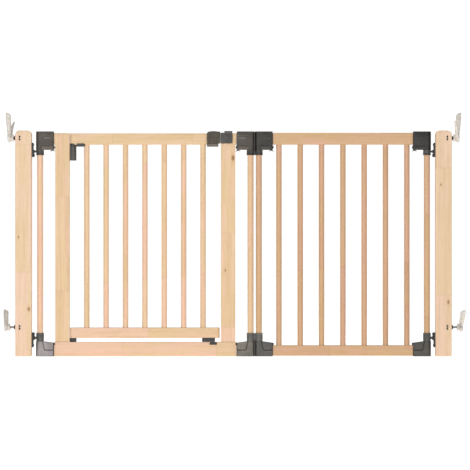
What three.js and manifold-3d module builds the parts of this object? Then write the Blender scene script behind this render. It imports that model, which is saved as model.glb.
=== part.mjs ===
// A clamp-fit wooden stair gate: a door element and a fixed panel, linked in the middle, between clamp posts.
// Millimetres, +Z up, +X along the gate, -Y is the front. The origin is the gate's middle, at floor level.
import * as THREE from 'three';
import { mergeVertices } from 'three/addons/utils/BufferGeometryUtils.js';
import Module from 'manifold-3d';

const wasm = await Module();
wasm.setup();

// ---- driving dimensions ----
const GATE_HEIGHT = 815; // top of the clamp posts
const FIT = 0.3; // gap between touching pieces
const RUN = 0.3; // radial gap round a turning dowel or pin
const CUT = 1; // how far a cutting shape runs past the face it opens, and a joined one runs inside

const POST_WIDTH = 59;
const POST_DEPTH = 42;
const POST_CORNER = 16;
const POST_CHAMFER = 3;
const PIVOT_STANDOFF = 30; // post face to dowel axis

const RAIL_DEPTH = 22; // thickness of every frame, leaf and panel member
const WOOD_CHAMFER = 1.5;
const STILE_WIDTH = 52;
const STILE_TOP_DROP = 9;
const STUB_LENGTH = 5;
const STUB_HEIGHT = 42;
const THRESHOLD_HEIGHT = 52;
const TENON_DEPTH = 12;
const TENON_HEIGHT = 28;
const TENON_LENGTH = 26;

const LEAF_LENGTH = 540;
const LEAF_TOP_DROP = 10;
const LEAF_TOP_RAIL = 41;
const LEAF_BOTTOM_RAIL = 38;
const LEAF_FLOOR_GAP = 14; // leaf to threshold
const LEAF_HINGE_GAP = 1.5;
const LEAF_LATCH_GAP = 4.5;
const LEAF_SLATS = 7;

const PANEL_SPAN = 607; // dowel axis to dowel axis
const PANEL_TOP_DROP = 8;
const PANEL_TOP_RAIL = 43;
const PANEL_BOTTOM_RAIL = 38;
const PANEL_FOOT = 2;
const PANEL_SLATS = 7;
const PANEL_SLAT_INSET = 22.5; // connector to the first slat's axis

const SLAT_DIAMETER = 20;
const SLAT_PEG = 12; // diameter of the peg turned on a slat's end
const PEG_LENGTH = 14;
const DOWEL_DIAMETER = 22;
const DOWEL_SPACING = 30; // the two middle dowels

const CONNECTOR_REACH = 50; // dowel axis to rail
const CONNECTOR_TOP_DROP = 3;
const UPPER_CONNECTOR_HEIGHT = 67;
const LOWER_CONNECTOR_HEIGHT = 54;
const LOWER_CONNECTOR_FALL = 5; // slope of the top towards the rail
const CONNECTOR_CHAMFER = 2;
const CLIP_STEP = 1; // how far the snap clip lies below the connector's face
const UPPER_CLIP_HEIGHT = 16;
const LOWER_CLIP_HEIGHT = 30;
const CLIP_NOSE = 4; // clip nose past the connector's end
const NOSE_HEIGHT = 9;
const SOCKET_FLOOR = 20; // material under or over a dowel's end

const KNUCKLE_WALL = 2.4;
const UPPER_KNUCKLE = 18.5;
const LOWER_KNUCKLE = 30;
const BRACKET_PLATE = 6;
const BRACKET_WIDTH = 30;
const UPPER_BRACKET_HEIGHT = 52;
const LOWER_BRACKET_HEIGHT = 54;
const BRACKET_WEB = 14;
const UPPER_BRACKET_DROP = 7; // plate below its knuckle
const LOWER_BRACKET_RISE = 2; // plate above its knuckle

const UPPER_SPINDLE_DROP = 27;
const LOWER_SPINDLE_HEIGHT = 105;
const SPINDLE_DIAMETER = 8;
const SPINDLE_LENGTH = 65;
const SPINDLE_BORE_DEPTH = 50;
const UPPER_SPINDLE_SHOW = 1.5; // bare spindle between nut and claw
const LOWER_SPINDLE_SHOW = 14;
const NUT_SLOT_INSET = 16;
const NUT_SLOT_WIDTH = 6;
const NUT_SLOT_HEIGHT = 17;
const CLAMP_NUT_LENGTH = 5;
const CLAMP_NUT_FLANGE = 19;
const CLAMP_NUT_SKIRT = 2;
const CLAMP_NUT_FLATS = 13;

const CLAW_DISC = 27;
const CLAW_DISC_LENGTH = 8;
const CLAW_HUB = 32;
const CLAW_HUB_LENGTH = 14;
const CLAW_ARM = 92;
const CLAW_ARM_WIDTH = 16;
const CLAW_ARM_LEAN = 6; // how far the tip stands out past the hub
const CLAW_ARM_BACK = 5; // arm's inner side, from the disc's face
const CLAW_ARM_SPLIT = 0.62; // where the arm narrows above the prong's root, as a part of its height
const CLAW_SPREAD = THREE.MathUtils.degToRad(45);
const CLAW_PRONG = 86;
const CLAW_PRONG_DIAMETER = 7;
const CLAW_PRONG_ROOT = 11;
const LOWER_CLAW_TURN = THREE.MathUtils.degToRad(48);

const HINGE_BARREL_HEIGHT = 50;
const HINGE_PIN = 8;
const HINGE_PIN_GRIP = 22; // pin inside the leaf's rail
const HINGE_LEG_WIDTH = 18;
const HINGE_LEG_THICKNESS = 6.5;
const LIFT = 8; // how far the leaf lifts on its pins

const LATCH_DEPTH = 36;
const LATCH_WALL = 3;
const LATCH_CHAMFER = 3;
const HANDLE_LENGTH = 48;
const HANDLE_HEIGHT = 43;
const HANDLE_OVERHANG = 2; // past the leaf's end
const STRIKER_LENGTH = 43;
const STRIKER_SKIN = 1.5; // striker wall in front of the stile
const STRIKER_TOP_STEP = 6;
const STRIKER_STEP_LENGTH = 14;
const STRIKER_POCKET = 12;
const BOLT_HEIGHT = 10;
const BOLT_WIDTH = 8;
const BOLT_PLAY = 2;
const BOLT_TRAVEL = 8;
const SLIDER_STEM = 11;
const TAB_MARGIN = 4; // last slat to the thumb tab
const TAB_STOP = 1; // thumb tab to the stile, slid out
const TAB_THICKNESS = 6.5;

// ---- places that follow from them ----
const CONNECTOR_RADIUS = (DOWEL_SPACING - FIT) / 2;
const KNUCKLE_BORE = DOWEL_DIAMETER / 2 + RUN;
const KNUCKLE_RADIUS = KNUCKLE_BORE + KNUCKLE_WALL;
const STILE_OFFSET = CONNECTOR_REACH + STUB_LENGTH; // dowel axis to stile
const DOORWAY = LEAF_HINGE_GAP + LEAF_LENGTH + LEAF_LATCH_GAP;
const DOOR_SPAN = 2 * (STILE_OFFSET + STILE_WIDTH) + DOORWAY;
const END_LENGTH = POST_WIDTH + PIVOT_STANDOFF;
const HALF_LENGTH = (2 * END_LENGTH + DOOR_SPAN + DOWEL_SPACING + PANEL_SPAN) / 2;
const DOOR_X = END_LENGTH - HALF_LENGTH;
const PANEL_X = DOOR_X + DOOR_SPAN + DOWEL_SPACING;
const UPPER_CONNECTOR_Z = GATE_HEIGHT - CONNECTOR_TOP_DROP - UPPER_CONNECTOR_HEIGHT;
const DOWEL_FOOT = SOCKET_FLOOR + FIT;
const DOWEL_TOP = GATE_HEIGHT - CONNECTOR_TOP_DROP - SOCKET_FLOOR - FIT;
const UPPER_KNUCKLE_Z = UPPER_CONNECTOR_Z - FIT - UPPER_KNUCKLE;
const LOWER_KNUCKLE_Z = LOWER_CONNECTOR_HEIGHT + FIT;
const STILE_TOP = GATE_HEIGHT - STILE_TOP_DROP;
const STUB_Z = STILE_TOP - STUB_HEIGHT;
const UPPER_TENON_Z = STUB_Z + (STUB_HEIGHT - TENON_HEIGHT) / 2;
const LOWER_TENON_Z = (LOWER_CONNECTOR_HEIGHT - LOWER_CONNECTOR_FALL - TENON_HEIGHT) / 2;
const LEAF_END_RADIUS = RAIL_DEPTH / 2;
const LEAF_END = LEAF_LENGTH - LEAF_END_RADIUS; // hinge axis to the leaf's free end
const HINGE_BARREL = 2 * LEAF_END_RADIUS + LEAF_HINGE_GAP;
const HINGE_X = STILE_OFFSET + STILE_WIDTH + LEAF_HINGE_GAP + LEAF_END_RADIUS;
const LEAF_SLAT_GAP = (LEAF_LENGTH - LEAF_SLATS * SLAT_DIAMETER) / (LEAF_SLATS + 1);
const HINGE_LEG = LEAF_SLAT_GAP - LEAF_END_RADIUS - FIT; // bracket leg, from the hinge axis to the first slat
const LEAF_FOOT = THRESHOLD_HEIGHT + LEAF_FLOOR_GAP;
const LEAF_TOP = GATE_HEIGHT - LEAF_TOP_DROP;
const LEAF_TOP_RAIL_Z = LEAF_TOP - LEAF_TOP_RAIL;
const BRACKET_LEG_Z = LEAF_TOP_RAIL_Z - FIT - HINGE_LEG_THICKNESS;
const HANDLE_TOP = LEAF_TOP + FIT + LATCH_WALL + CONNECTOR_TOP_DROP;
const HANDLE_X = LEAF_END + HANDLE_OVERHANG - HANDLE_LENGTH;
const HANDLE_Z = HANDLE_TOP - HANDLE_HEIGHT;
const SLIDER_X = LEAF_END + HANDLE_OVERHANG - LATCH_WALL - FIT - BOLT_TRAVEL - SLIDER_STEM - FIT;
const TOP_RAIL_END = SLIDER_X - BOLT_TRAVEL / 2;
const BOLT_Z = LEAF_TOP_RAIL_Z + LEAF_TOP_RAIL / 2;
const STRIKER_TOP = HANDLE_TOP + BOLT_PLAY;
const CLAW_FACE = CLAW_DISC_LENGTH + CLAW_HUB_LENGTH;

const WOOD = { color: 0xe3c49a, roughness: 0.55, metalness: 0 };
const WARM_WOOD = { color: 0xd9a983, roughness: 0.55, metalness: 0 };
const DARK_PLASTIC = { color: 0x48443f, roughness: 0.5, metalness: 0 };
const PALE_PLASTIC = { color: 0xd9d0c6, roughness: 0.45, metalness: 0 };
const STEEL = { color: 0xa9abad, roughness: 0.3, metalness: 1 };

// ---- solids ----
function toSolid(geometry) {
  const bare = geometry.clone();
  bare.deleteAttribute('normal');
  bare.deleteAttribute('uv');
  const merged = mergeVertices(bare, 1e-4);
  const vertProperties = Float32Array.from(merged.attributes.position.array);
  const triVerts = Uint32Array.from(merged.index.array);
  return new wasm.Manifold(new wasm.Mesh({ numProp: 3, vertProperties, triVerts }));
}

function box([x0, x1], [y0, y1], [z0, z1]) {
  const geometry = new THREE.BoxGeometry(x1 - x0, y1 - y0, z1 - z0);
  geometry.translate((x0 + x1) / 2, (y0 + y1) / 2, (z0 + z1) / 2);
  return toSolid(geometry);
}

// A box centred on y = 0.
function slab(xs, depth, zs) {
  return box(xs, [-depth / 2, depth / 2], zs);
}

// An upright cylinder on the axis (x, 0).
function upright(radius, x, [z0, z1], sides = 20) {
  const geometry = new THREE.CylinderGeometry(radius, radius, z1 - z0, sides);
  geometry.rotateX(Math.PI / 2);
  geometry.translate(x, 0, (z0 + z1) / 2);
  return toSolid(geometry);
}

// A cylinder along X at height z.
function lying(radius, [x0, x1], z = 0, sides = 16) {
  const geometry = new THREE.CylinderGeometry(radius, radius, x1 - x0, sides);
  geometry.rotateZ(Math.PI / 2);
  geometry.translate((x0 + x1) / 2, 0, z);
  return toSolid(geometry);
}

function chamfered(length, chamfer) {
  const bevel = { bevelEnabled: chamfer > 0, bevelSegments: 1, bevelSize: chamfer, bevelOffset: -chamfer };
  return { ...bevel, bevelThickness: chamfer, depth: length - 2 * chamfer, curveSegments: 5 };
}

// An outline in the XZ plane, extruded evenly to both sides of y = 0.
function frontOutline(shape, depth, chamfer = 0) {
  const geometry = new THREE.ExtrudeGeometry(shape, chamfered(depth, chamfer));
  geometry.rotateX(Math.PI / 2);
  geometry.translate(0, depth / 2 - chamfer, 0);
  return toSolid(geometry);
}

// An outline in the XY plane, extruded upwards from z0 to z1.
function planOutline(shape, [z0, z1], chamfer = 0) {
  const geometry = new THREE.ExtrudeGeometry(shape, chamfered(z1 - z0, chamfer));
  geometry.translate(0, 0, z0 + chamfer);
  return toSolid(geometry);
}

function polygon(points) {
  return new THREE.Shape(points.map(([x, y]) => new THREE.Vector2(x, y)));
}

function rectangle([x0, x1], [y0, y1]) {
  return polygon([[x0, y0], [x1, y0], [x1, y1], [x0, y1]]);
}

// A bar's plan with a half-round end about x = 0 and a square end at x = length.
function halfRoundBar(radius, length) {
  const shape = new THREE.Shape();
  shape.moveTo(0, -radius);
  shape.lineTo(length, -radius);
  shape.lineTo(length, radius);
  shape.lineTo(0, radius);
  shape.absarc(0, 0, radius, Math.PI / 2, 1.5 * Math.PI, false);
  return shape;
}

function piece(name, solid, finish) {
  const { vertProperties, triVerts } = solid.getMesh();
  const geometry = new THREE.BufferGeometry();
  geometry.setAttribute('position', new THREE.BufferAttribute(vertProperties, 3));
  geometry.setIndex(new THREE.BufferAttribute(triVerts, 1));
  geometry.computeVertexNormals();
  const mesh = new THREE.Mesh(geometry, new THREE.MeshStandardMaterial(finish));
  mesh.name = name;
  return mesh;
}

function at(object, x, z = 0) {
  object.position.set(x, 0, z);
  return object;
}

// ---- clamp ends: x = 0 is the post's face towards the gate, and the gate is at +x ----
function clampPost(name, front) {
  const shape = new THREE.Shape();
  shape.moveTo(-POST_WIDTH, 0);
  shape.lineTo(0, 0);
  shape.lineTo(0, GATE_HEIGHT - POST_CORNER);
  shape.absarc(-POST_CORNER, GATE_HEIGHT - POST_CORNER, POST_CORNER, 0, Math.PI / 2, false);
  shape.absarc(POST_CORNER - POST_WIDTH, GATE_HEIGHT - POST_CORNER, POST_CORNER, Math.PI / 2, Math.PI, false);
  let solid = frontOutline(shape, POST_DEPTH, POST_CHAMFER);
  const slotX = NUT_SLOT_INSET - POST_WIDTH;
  const slotYs = [front * (POST_DEPTH / 2 + CUT), -front * CLAMP_NUT_FLATS / 2].sort((a, b) => a - b);
  for (const z of [GATE_HEIGHT - UPPER_SPINDLE_DROP, LOWER_SPINDLE_HEIGHT]) {
    const slotXs = [slotX - NUT_SLOT_WIDTH / 2, slotX + NUT_SLOT_WIDTH / 2];
    solid = solid.subtract(box(slotXs, slotYs, [z - NUT_SLOT_HEIGHT / 2, z + NUT_SLOT_HEIGHT / 2]));
    const boreXs = [-POST_WIDTH - CUT, SPINDLE_BORE_DEPTH - POST_WIDTH];
    solid = solid.subtract(lying(SPINDLE_DIAMETER / 2 + RUN, boreXs, z));
  }
  return piece(name, solid, WOOD);
}

function wallBracket(name, plateZs, knuckleZs) {
  const plate = frontOutline(rectangle([FIT, FIT + BRACKET_PLATE], plateZs), BRACKET_WIDTH, 1);
  const web = slab([FIT + BRACKET_PLATE / 2, PIVOT_STANDOFF], BRACKET_WEB, knuckleZs);
  const knuckle = upright(KNUCKLE_RADIUS, PIVOT_STANDOFF, knuckleZs);
  const bore = upright(KNUCKLE_BORE, PIVOT_STANDOFF, [knuckleZs[0] - CUT, knuckleZs[1] + CUT]);
  return piece(name, plate.add(web).add(knuckle).subtract(bore), DARK_PLASTIC);
}

function clampNut(name) {
  const flange = lying(CLAMP_NUT_FLANGE / 2, [-CLAMP_NUT_SKIRT, 0]);
  const hexagon = lying(CLAMP_NUT_FLATS / Math.sqrt(3), [-CLAMP_NUT_LENGTH, -CLAMP_NUT_SKIRT / 2], 0, 6);
  const bore = lying(SPINDLE_DIAMETER / 2 + RUN, [-CLAMP_NUT_LENGTH - CUT, CUT]);
  return piece(name, flange.add(hexagon).subtract(bore), STEEL);
}

// x = 0 is the spindle's end inside the claw, and it runs towards +x.
function spindle(name) {
  return piece(name, lying(SPINDLE_DIAMETER / 2, [0, SPINDLE_LENGTH], 0, 16), STEEL);
}

// x = 0 is the disc's face towards the post, -CLAW_FACE is the claw's face, and the arm stands up along +Z.
function bannisterClaw(name) {
  const disc = lying(CLAW_DISC / 2, [-CLAW_DISC_LENGTH, 0]);
  const hub = lying(CLAW_HUB / 2, [-CLAW_FACE, -CLAW_DISC_LENGTH]);
  const arm = new THREE.Shape();
  arm.moveTo(-CLAW_ARM_BACK, -CLAW_HUB / 4);
  arm.lineTo(-CLAW_FACE, -CLAW_HUB / 4);
  arm.lineTo(-CLAW_FACE, CLAW_HUB / 2);
  arm.lineTo(-CLAW_FACE - CLAW_ARM_LEAN, (CLAW_ARM + CLAW_HUB) / 2);
  arm.lineTo(-CLAW_FACE - CLAW_ARM_LEAN, CLAW_ARM);
  arm.quadraticCurveTo(-CLAW_ARM_BACK, CLAW_ARM, -CLAW_ARM_BACK, (CLAW_ARM_SPLIT + 1) / 2 * CLAW_ARM);
  arm.lineTo(-CLAW_ARM_BACK - CLAW_ARM_LEAN, CLAW_ARM_SPLIT * CLAW_ARM);
  arm.lineTo(-CLAW_ARM_BACK, CLAW_ARM / 2);
  const blade = frontOutline(arm, CLAW_ARM_WIDTH, 2);
  const start = new THREE.Vector3(-CLAW_FACE + CLAW_PRONG_DIAMETER, 0, 0);
  const end = new THREE.Vector3(0, Math.sin(CLAW_SPREAD), Math.cos(CLAW_SPREAD)).multiplyScalar(CLAW_PRONG);
  end.setX(-CLAW_PRONG_DIAMETER / 2);
  const along = end.clone().sub(start);
  const bar = new THREE.CylinderGeometry(CLAW_PRONG_DIAMETER / 2, CLAW_PRONG_ROOT / 2, along.length(), 10);
  const turn = new THREE.Quaternion();
  turn.setFromUnitVectors(new THREE.Vector3(0, 1, 0), along.clone().normalize());
  bar.applyQuaternion(turn);
  bar.translate(...start.clone().addScaledVector(along, 0.5).toArray());
  const bore = lying(SPINDLE_DIAMETER / 2 + RUN, [-CLAW_DISC_LENGTH - CLAW_HUB_LENGTH / 2, CUT]);
  return piece(name, disc.add(hub).add(blade).add(toSolid(bar)).subtract(bore), PALE_PLASTIC);
}

function clampEnd(side, front) {
  const end = new THREE.Group();
  end.add(clampPost(`post_${side}`, front));
  const upperKnuckle = [UPPER_KNUCKLE_Z, UPPER_KNUCKLE_Z + UPPER_KNUCKLE];
  const lowerKnuckle = [LOWER_KNUCKLE_Z, LOWER_KNUCKLE_Z + LOWER_KNUCKLE];
  const upperFoot = upperKnuckle[0] - UPPER_BRACKET_DROP;
  const lowerTop = lowerKnuckle[1] + LOWER_BRACKET_RISE;
  const upperPlate = [upperFoot, upperFoot + UPPER_BRACKET_HEIGHT];
  const lowerPlate = [lowerTop - LOWER_BRACKET_HEIGHT, lowerTop];
  end.add(wallBracket(`wall_bracket_${side}_upper`, upperPlate, upperKnuckle));
  end.add(wallBracket(`wall_bracket_${side}_lower`, lowerPlate, lowerKnuckle));
  const levels = [
    { level: 'upper', z: GATE_HEIGHT - UPPER_SPINDLE_DROP, show: UPPER_SPINDLE_SHOW, turn: 0 },
    { level: 'lower', z: LOWER_SPINDLE_HEIGHT, show: LOWER_SPINDLE_SHOW, turn: -LOWER_CLAW_TURN },
  ];
  for (const { level, z, show, turn } of levels) {
    const nutX = -POST_WIDTH - FIT;
    const clawX = nutX - CLAMP_NUT_LENGTH - show;
    end.add(at(clampNut(`clamp_nut_${side}_${level}`), nutX, z));
    end.add(at(spindle(`spindle_${side}_${level}`), clawX - CLAW_DISC_LENGTH - CLAW_HUB_LENGTH / 2 + FIT, z));
    const claw = at(bannisterClaw(`claw_${side}_${level}`), clawX, z);
    claw.rotation.x = turn;
    end.add(claw);
  }
  return end;
}

// ---- corner connectors: x = 0 is the dowel's axis, the rail is at +x ----
function railTenon([x0, x1], z) {
  return slab([x0, x1], TENON_DEPTH, [z, z + TENON_HEIGHT]);
}

function tenonSocket(z) {
  const xs = [CONNECTOR_REACH - TENON_LENGTH - FIT, CONNECTOR_REACH + CUT];
  return slab(xs, TENON_DEPTH + 2 * FIT, [z - FIT, z + TENON_HEIGHT + FIT]);
}

function upperConnector(name) {
  const top = UPPER_CONNECTOR_HEIGHT;
  let solid = planOutline(halfRoundBar(CONNECTOR_RADIUS, CONNECTOR_REACH), [0, top], CONNECTOR_CHAMFER);
  const stepXs = [CONNECTOR_RADIUS, CONNECTOR_REACH + CUT];
  const stepZs = [-CUT, UPPER_CLIP_HEIGHT];
  const step = slab(stepXs, 3 * CONNECTOR_RADIUS, stepZs);
  const core = slab(stepXs, 2 * (CONNECTOR_RADIUS - CLIP_STEP), stepZs);
  solid = solid.subtract(step.subtract(core));
  const noseXs = [CONNECTOR_REACH - CLIP_NOSE, CONNECTOR_REACH + CLIP_NOSE];
  solid = solid.add(slab(noseXs, 2 * (CONNECTOR_RADIUS - CLIP_STEP), [CUT, UPPER_CLIP_HEIGHT]));
  solid = solid.subtract(upright(DOWEL_DIAMETER / 2 + FIT, 0, [-CUT, top - SOCKET_FLOOR]));
  return piece(name, solid.subtract(tenonSocket(UPPER_TENON_Z - UPPER_CONNECTOR_Z)), DARK_PLASTIC);
}

function lowerConnector(name) {
  const top = LOWER_CONNECTOR_HEIGHT;
  const low = top - LOWER_CONNECTOR_FALL;
  const end = CONNECTOR_REACH;
  const profile = [[-DOWEL_SPACING, 0], [end, 0], [end, low], [CONNECTOR_RADIUS, top], [-DOWEL_SPACING, top]];
  let solid = planOutline(halfRoundBar(CONNECTOR_RADIUS, end), [0, top], CONNECTOR_CHAMFER);
  solid = solid.intersect(frontOutline(polygon(profile), 3 * CONNECTOR_RADIUS));
  const seam = top - LOWER_CLIP_HEIGHT;
  const far = end + CUT;
  const over = top + CUT;
  const window = polygon([[CONNECTOR_RADIUS / 2, over], [CONNECTOR_RADIUS, seam], [far, seam], [far, over]]);
  const core = slab([0, far + CUT], 2 * (CONNECTOR_RADIUS - CLIP_STEP), [0, top + 2 * CUT]);
  solid = solid.subtract(frontOutline(window, 3 * CONNECTOR_RADIUS).subtract(core));
  const noseZs = [low - NOSE_HEIGHT, low];
  const nose = slab([end - CLIP_NOSE, end + CLIP_NOSE], 2 * (CONNECTOR_RADIUS - CLIP_STEP), noseZs);
  solid = solid.add(nose).subtract(slab([end, end + CLIP_NOSE + CUT], RAIL_DEPTH + 2 * FIT, noseZs));
  solid = solid.subtract(upright(DOWEL_DIAMETER / 2 + FIT, 0, [SOCKET_FLOOR, top + CUT]));
  return piece(name, solid.subtract(tenonSocket(LOWER_TENON_Z)), DARK_PLASTIC);
}

// A connector at each end of an element that spans between two dowels.
function elementCorners(element, prefix, span) {
  for (const [side, x, turn] of [['left', 0, 0], ['right', span, Math.PI]]) {
    const corner = new THREE.Group();
    corner.add(at(upperConnector(`connector_${prefix}_${side}_upper`), 0, UPPER_CONNECTOR_Z));
    corner.add(lowerConnector(`connector_${prefix}_${side}_lower`));
    corner.rotation.z = turn;
    element.add(at(corner, x));
    const dowel = upright(DOWEL_DIAMETER / 2, 0, [DOWEL_FOOT, DOWEL_TOP]);
    element.add(at(piece(`dowel_${prefix}_${side}`, dowel, WOOD), x));
  }
}

// Two knuckles side by side round the middle dowels.
function middleLink(name, height) {
  const zs = [0, height];
  const cut = [-CUT, height + CUT];
  const rings = upright(KNUCKLE_RADIUS, 0, zs).add(upright(KNUCKLE_RADIUS, DOWEL_SPACING, zs));
  const body = rings.add(slab([0, DOWEL_SPACING], BRACKET_WEB, zs));
  const bores = upright(KNUCKLE_BORE, 0, cut).add(upright(KNUCKLE_BORE, DOWEL_SPACING, cut));
  return piece(name, body.subtract(bores), DARK_PLASTIC);
}

// ---- rails and slats ----
// A rail between two connectors, with a tenon on each end.
function spanRail(span, [z0, z1], tenonZ) {
  const start = CONNECTOR_REACH + FIT;
  const bar = frontOutline(rectangle([start, span - start], [z0, z1]), RAIL_DEPTH, WOOD_CHAMFER);
  const tip = CONNECTOR_REACH - TENON_LENGTH;
  const left = railTenon([tip, start + CUT], tenonZ);
  const right = railTenon([span - start - CUT, span - tip], tenonZ);
  return bar.add(left).add(right);
}

function drillPegHoles(rail, xs, z, direction) {
  const ends = [z - direction, z + direction * (PEG_LENGTH + FIT)].sort((a, b) => a - b);
  return xs.reduce((solid, x) => solid.subtract(upright(SLAT_PEG / 2 + FIT, x, ends, 12)), rail);
}

function slat(z0, z1) {
  const body = SLAT_DIAMETER / 2;
  const peg = SLAT_PEG / 2;
  const profile = [[0, z0 - PEG_LENGTH], [peg, z0 - PEG_LENGTH], [peg, z0 + FIT], [body, z0 + FIT]];
  const upper = [[body, z1 - FIT], [peg, z1 - FIT], [peg, z1 + PEG_LENGTH], [0, z1 + PEG_LENGTH]];
  const lathe = new THREE.LatheGeometry([...profile, ...upper].map(([r, z]) => new THREE.Vector2(r, z)), 18);
  lathe.rotateX(Math.PI / 2);
  return toSolid(lathe);
}

function slatRow(group, prefix, xs, z0, z1, finish) {
  xs.forEach((x, i) => group.add(at(piece(`${prefix}_${i + 1}`, slat(z0, z1), finish), x)));
}

// ---- door leaf: x = 0 is the hinge axis, the leaf runs to +x ----
function leafRail(end, [z0, z1]) {
  return planOutline(halfRoundBar(LEAF_END_RADIUS, end), [z0, z1], WOOD_CHAMFER);
}

function handleHousing() {
  const xs = [HANDLE_X, HANDLE_X + HANDLE_LENGTH];
  const shell = frontOutline(rectangle(xs, [HANDLE_Z, HANDLE_TOP]), LATCH_DEPTH, LATCH_CHAMFER);
  const hollowXs = [xs[0] - CUT, xs[1] - LATCH_WALL];
  const hollow = slab(hollowXs, RAIL_DEPTH + 2 * FIT, [HANDLE_Z - CUT, LEAF_TOP + FIT]);
  const reach = BOLT_HEIGHT / 2 + 2 * FIT;
  const windowXs = [hollowXs[1] - CUT, xs[1] + CUT];
  const window = slab(windowXs, BOLT_WIDTH + 4 * FIT, [BOLT_Z - reach, BOLT_Z + reach]);
  return piece('handle_housing', shell.subtract(hollow).subtract(window), DARK_PLASTIC);
}

function lockSlider() {
  const boltZs = [BOLT_Z - BOLT_HEIGHT / 2, BOLT_Z + BOLT_HEIGHT / 2];
  const tip = HANDLE_X + HANDLE_LENGTH - FIT;
  const bolt = slab([SLIDER_X, tip], BOLT_WIDTH, boltZs);
  const tabTop = LEAF_TOP_RAIL_Z - 2 * FIT;
  const stem = slab([SLIDER_X, SLIDER_X + SLIDER_STEM], BOLT_WIDTH, [tabTop - CUT, boltZs[1]]);
  const tabXs = [LEAF_END - LEAF_SLAT_GAP + TAB_MARGIN, LEAF_END + LEAF_LATCH_GAP - BOLT_TRAVEL - TAB_STOP];
  const tabZs = [tabTop - TAB_THICKNESS, HANDLE_Z - FIT];
  const tab = frontOutline(rectangle(tabXs, tabZs), LATCH_DEPTH - 2, 1);
  const trough = slab([tabXs[0] - CUT, tabXs[1] + CUT], RAIL_DEPTH + 2 * FIT, [tabTop, tabZs[1] + CUT]);
  return piece('lock_slider', tab.subtract(trough).add(bolt).add(stem), DARK_PLASTIC);
}

function hingeBracket() {
  const zs = [BRACKET_LEG_Z, BRACKET_LEG_Z + HINGE_LEG_THICKNESS];
  const collar = upright(HINGE_BARREL / 2, 0, zs);
  const leg = slab([0, HINGE_LEG], HINGE_LEG_WIDTH, zs);
  const bore = upright(HINGE_PIN / 2 + RUN, 0, [zs[0] - CUT, zs[1] + CUT], 16);
  return piece('hinge_bracket', collar.add(leg).subtract(bore), DARK_PLASTIC);
}

function doorLeaf() {
  const leaf = new THREE.Group();
  const bottomZs = [LEAF_FOOT, LEAF_FOOT + LEAF_BOTTOM_RAIL];
  const slatX = (i) => LEAF_SLAT_GAP * (i + 1) + SLAT_DIAMETER * (i + 0.5) - LEAF_END_RADIUS;
  const xs = Array.from({ length: LEAF_SLATS }, (_, i) => slatX(i));
  const pinBore = HINGE_PIN / 2 + RUN;
  const lowerPin = [LEAF_FOOT - CUT, LEAF_FOOT + HINGE_PIN_GRIP + LIFT];
  const upperPin = [LEAF_TOP_RAIL_Z - CUT, LEAF_TOP_RAIL_Z + HINGE_PIN_GRIP + LIFT / 2];
  const bottom = leafRail(LEAF_END, bottomZs).subtract(upright(pinBore, 0, lowerPin, 16));
  const top = leafRail(TOP_RAIL_END, [LEAF_TOP_RAIL_Z, LEAF_TOP]).subtract(upright(pinBore, 0, upperPin, 16));
  leaf.add(piece('leaf_bottom_rail', drillPegHoles(bottom, xs, bottomZs[1], -1), WOOD));
  leaf.add(piece('leaf_top_rail', drillPegHoles(top, xs, LEAF_TOP_RAIL_Z, 1), WOOD));
  slatRow(leaf, 'leaf_slat', xs, bottomZs[1], LEAF_TOP_RAIL_Z, WOOD);
  leaf.add(hingeBracket(), handleHousing(), lockSlider());
  return leaf;
}

// ---- door frame: x = 0 is the left dowel's axis ----
// x = 0 is the stile's connector side, and the doorway is at +x.
function stileSolid() {
  const outline = [
    [0, THRESHOLD_HEIGHT + FIT], [STILE_WIDTH, THRESHOLD_HEIGHT + FIT], [STILE_WIDTH, STILE_TOP],
    [FIT - STUB_LENGTH, STILE_TOP], [FIT - STUB_LENGTH, STUB_Z], [0, STUB_Z],
  ];
  const tenon = railTenon([-STUB_LENGTH - TENON_LENGTH, CUT], UPPER_TENON_Z);
  return frontOutline(polygon(outline), RAIL_DEPTH, WOOD_CHAMFER).add(tenon);
}

// The notch leaves room for the striker's body at the doorway's edge.
function latchStile() {
  const xs = [STILE_WIDTH - STRIKER_LENGTH / 2, STILE_WIDTH + CUT];
  return stileSolid().subtract(slab(xs, 2 * RAIL_DEPTH, [BOLT_Z - BOLT_HEIGHT, STILE_TOP + CUT]));
}

// In the latch stile's frame: block in the notch, cheeks over the stile, and a pocket for the bolt.
function strikerHousing() {
  const face = STILE_WIDTH + STRIKER_SKIN;
  const back = face - STRIKER_LENGTH;
  const foot = STRIKER_TOP - HANDLE_HEIGHT - BOLT_PLAY;
  const stepX = face - STRIKER_STEP_LENGTH;
  const stepZ = STRIKER_TOP - STRIKER_TOP_STEP;
  const shoulder = [[face, stepZ], [stepX, stepZ], [stepX, STRIKER_TOP]];
  const outline = [[back, foot], [face, foot], ...shoulder, [back, STRIKER_TOP]];
  const depth = RAIL_DEPTH + 2 * FIT;
  const notchX = STILE_WIDTH - STRIKER_LENGTH / 2;
  const overStile = slab([back - CUT, notchX + FIT], depth, [foot - CUT, STILE_TOP + FIT]);
  const underNotchZs = [foot - CUT, BOLT_Z - BOLT_HEIGHT + FIT];
  const underNotch = slab([back - CUT, STILE_WIDTH + FIT], depth, underNotchZs);
  const pocketZs = [BOLT_Z - BOLT_HEIGHT / 2 - BOLT_PLAY, BOLT_Z + BOLT_HEIGHT / 2 + BOLT_PLAY];
  const pocket = slab([face - STRIKER_POCKET, face + CUT], BOLT_WIDTH + 2 * BOLT_PLAY, pocketZs);
  const body = frontOutline(polygon(outline), LATCH_DEPTH, LATCH_CHAMFER / 2);
  const hollowed = body.subtract(overStile).subtract(underNotch).subtract(pocket);
  return piece('striker_housing', hollowed, DARK_PLASTIC);
}

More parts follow.
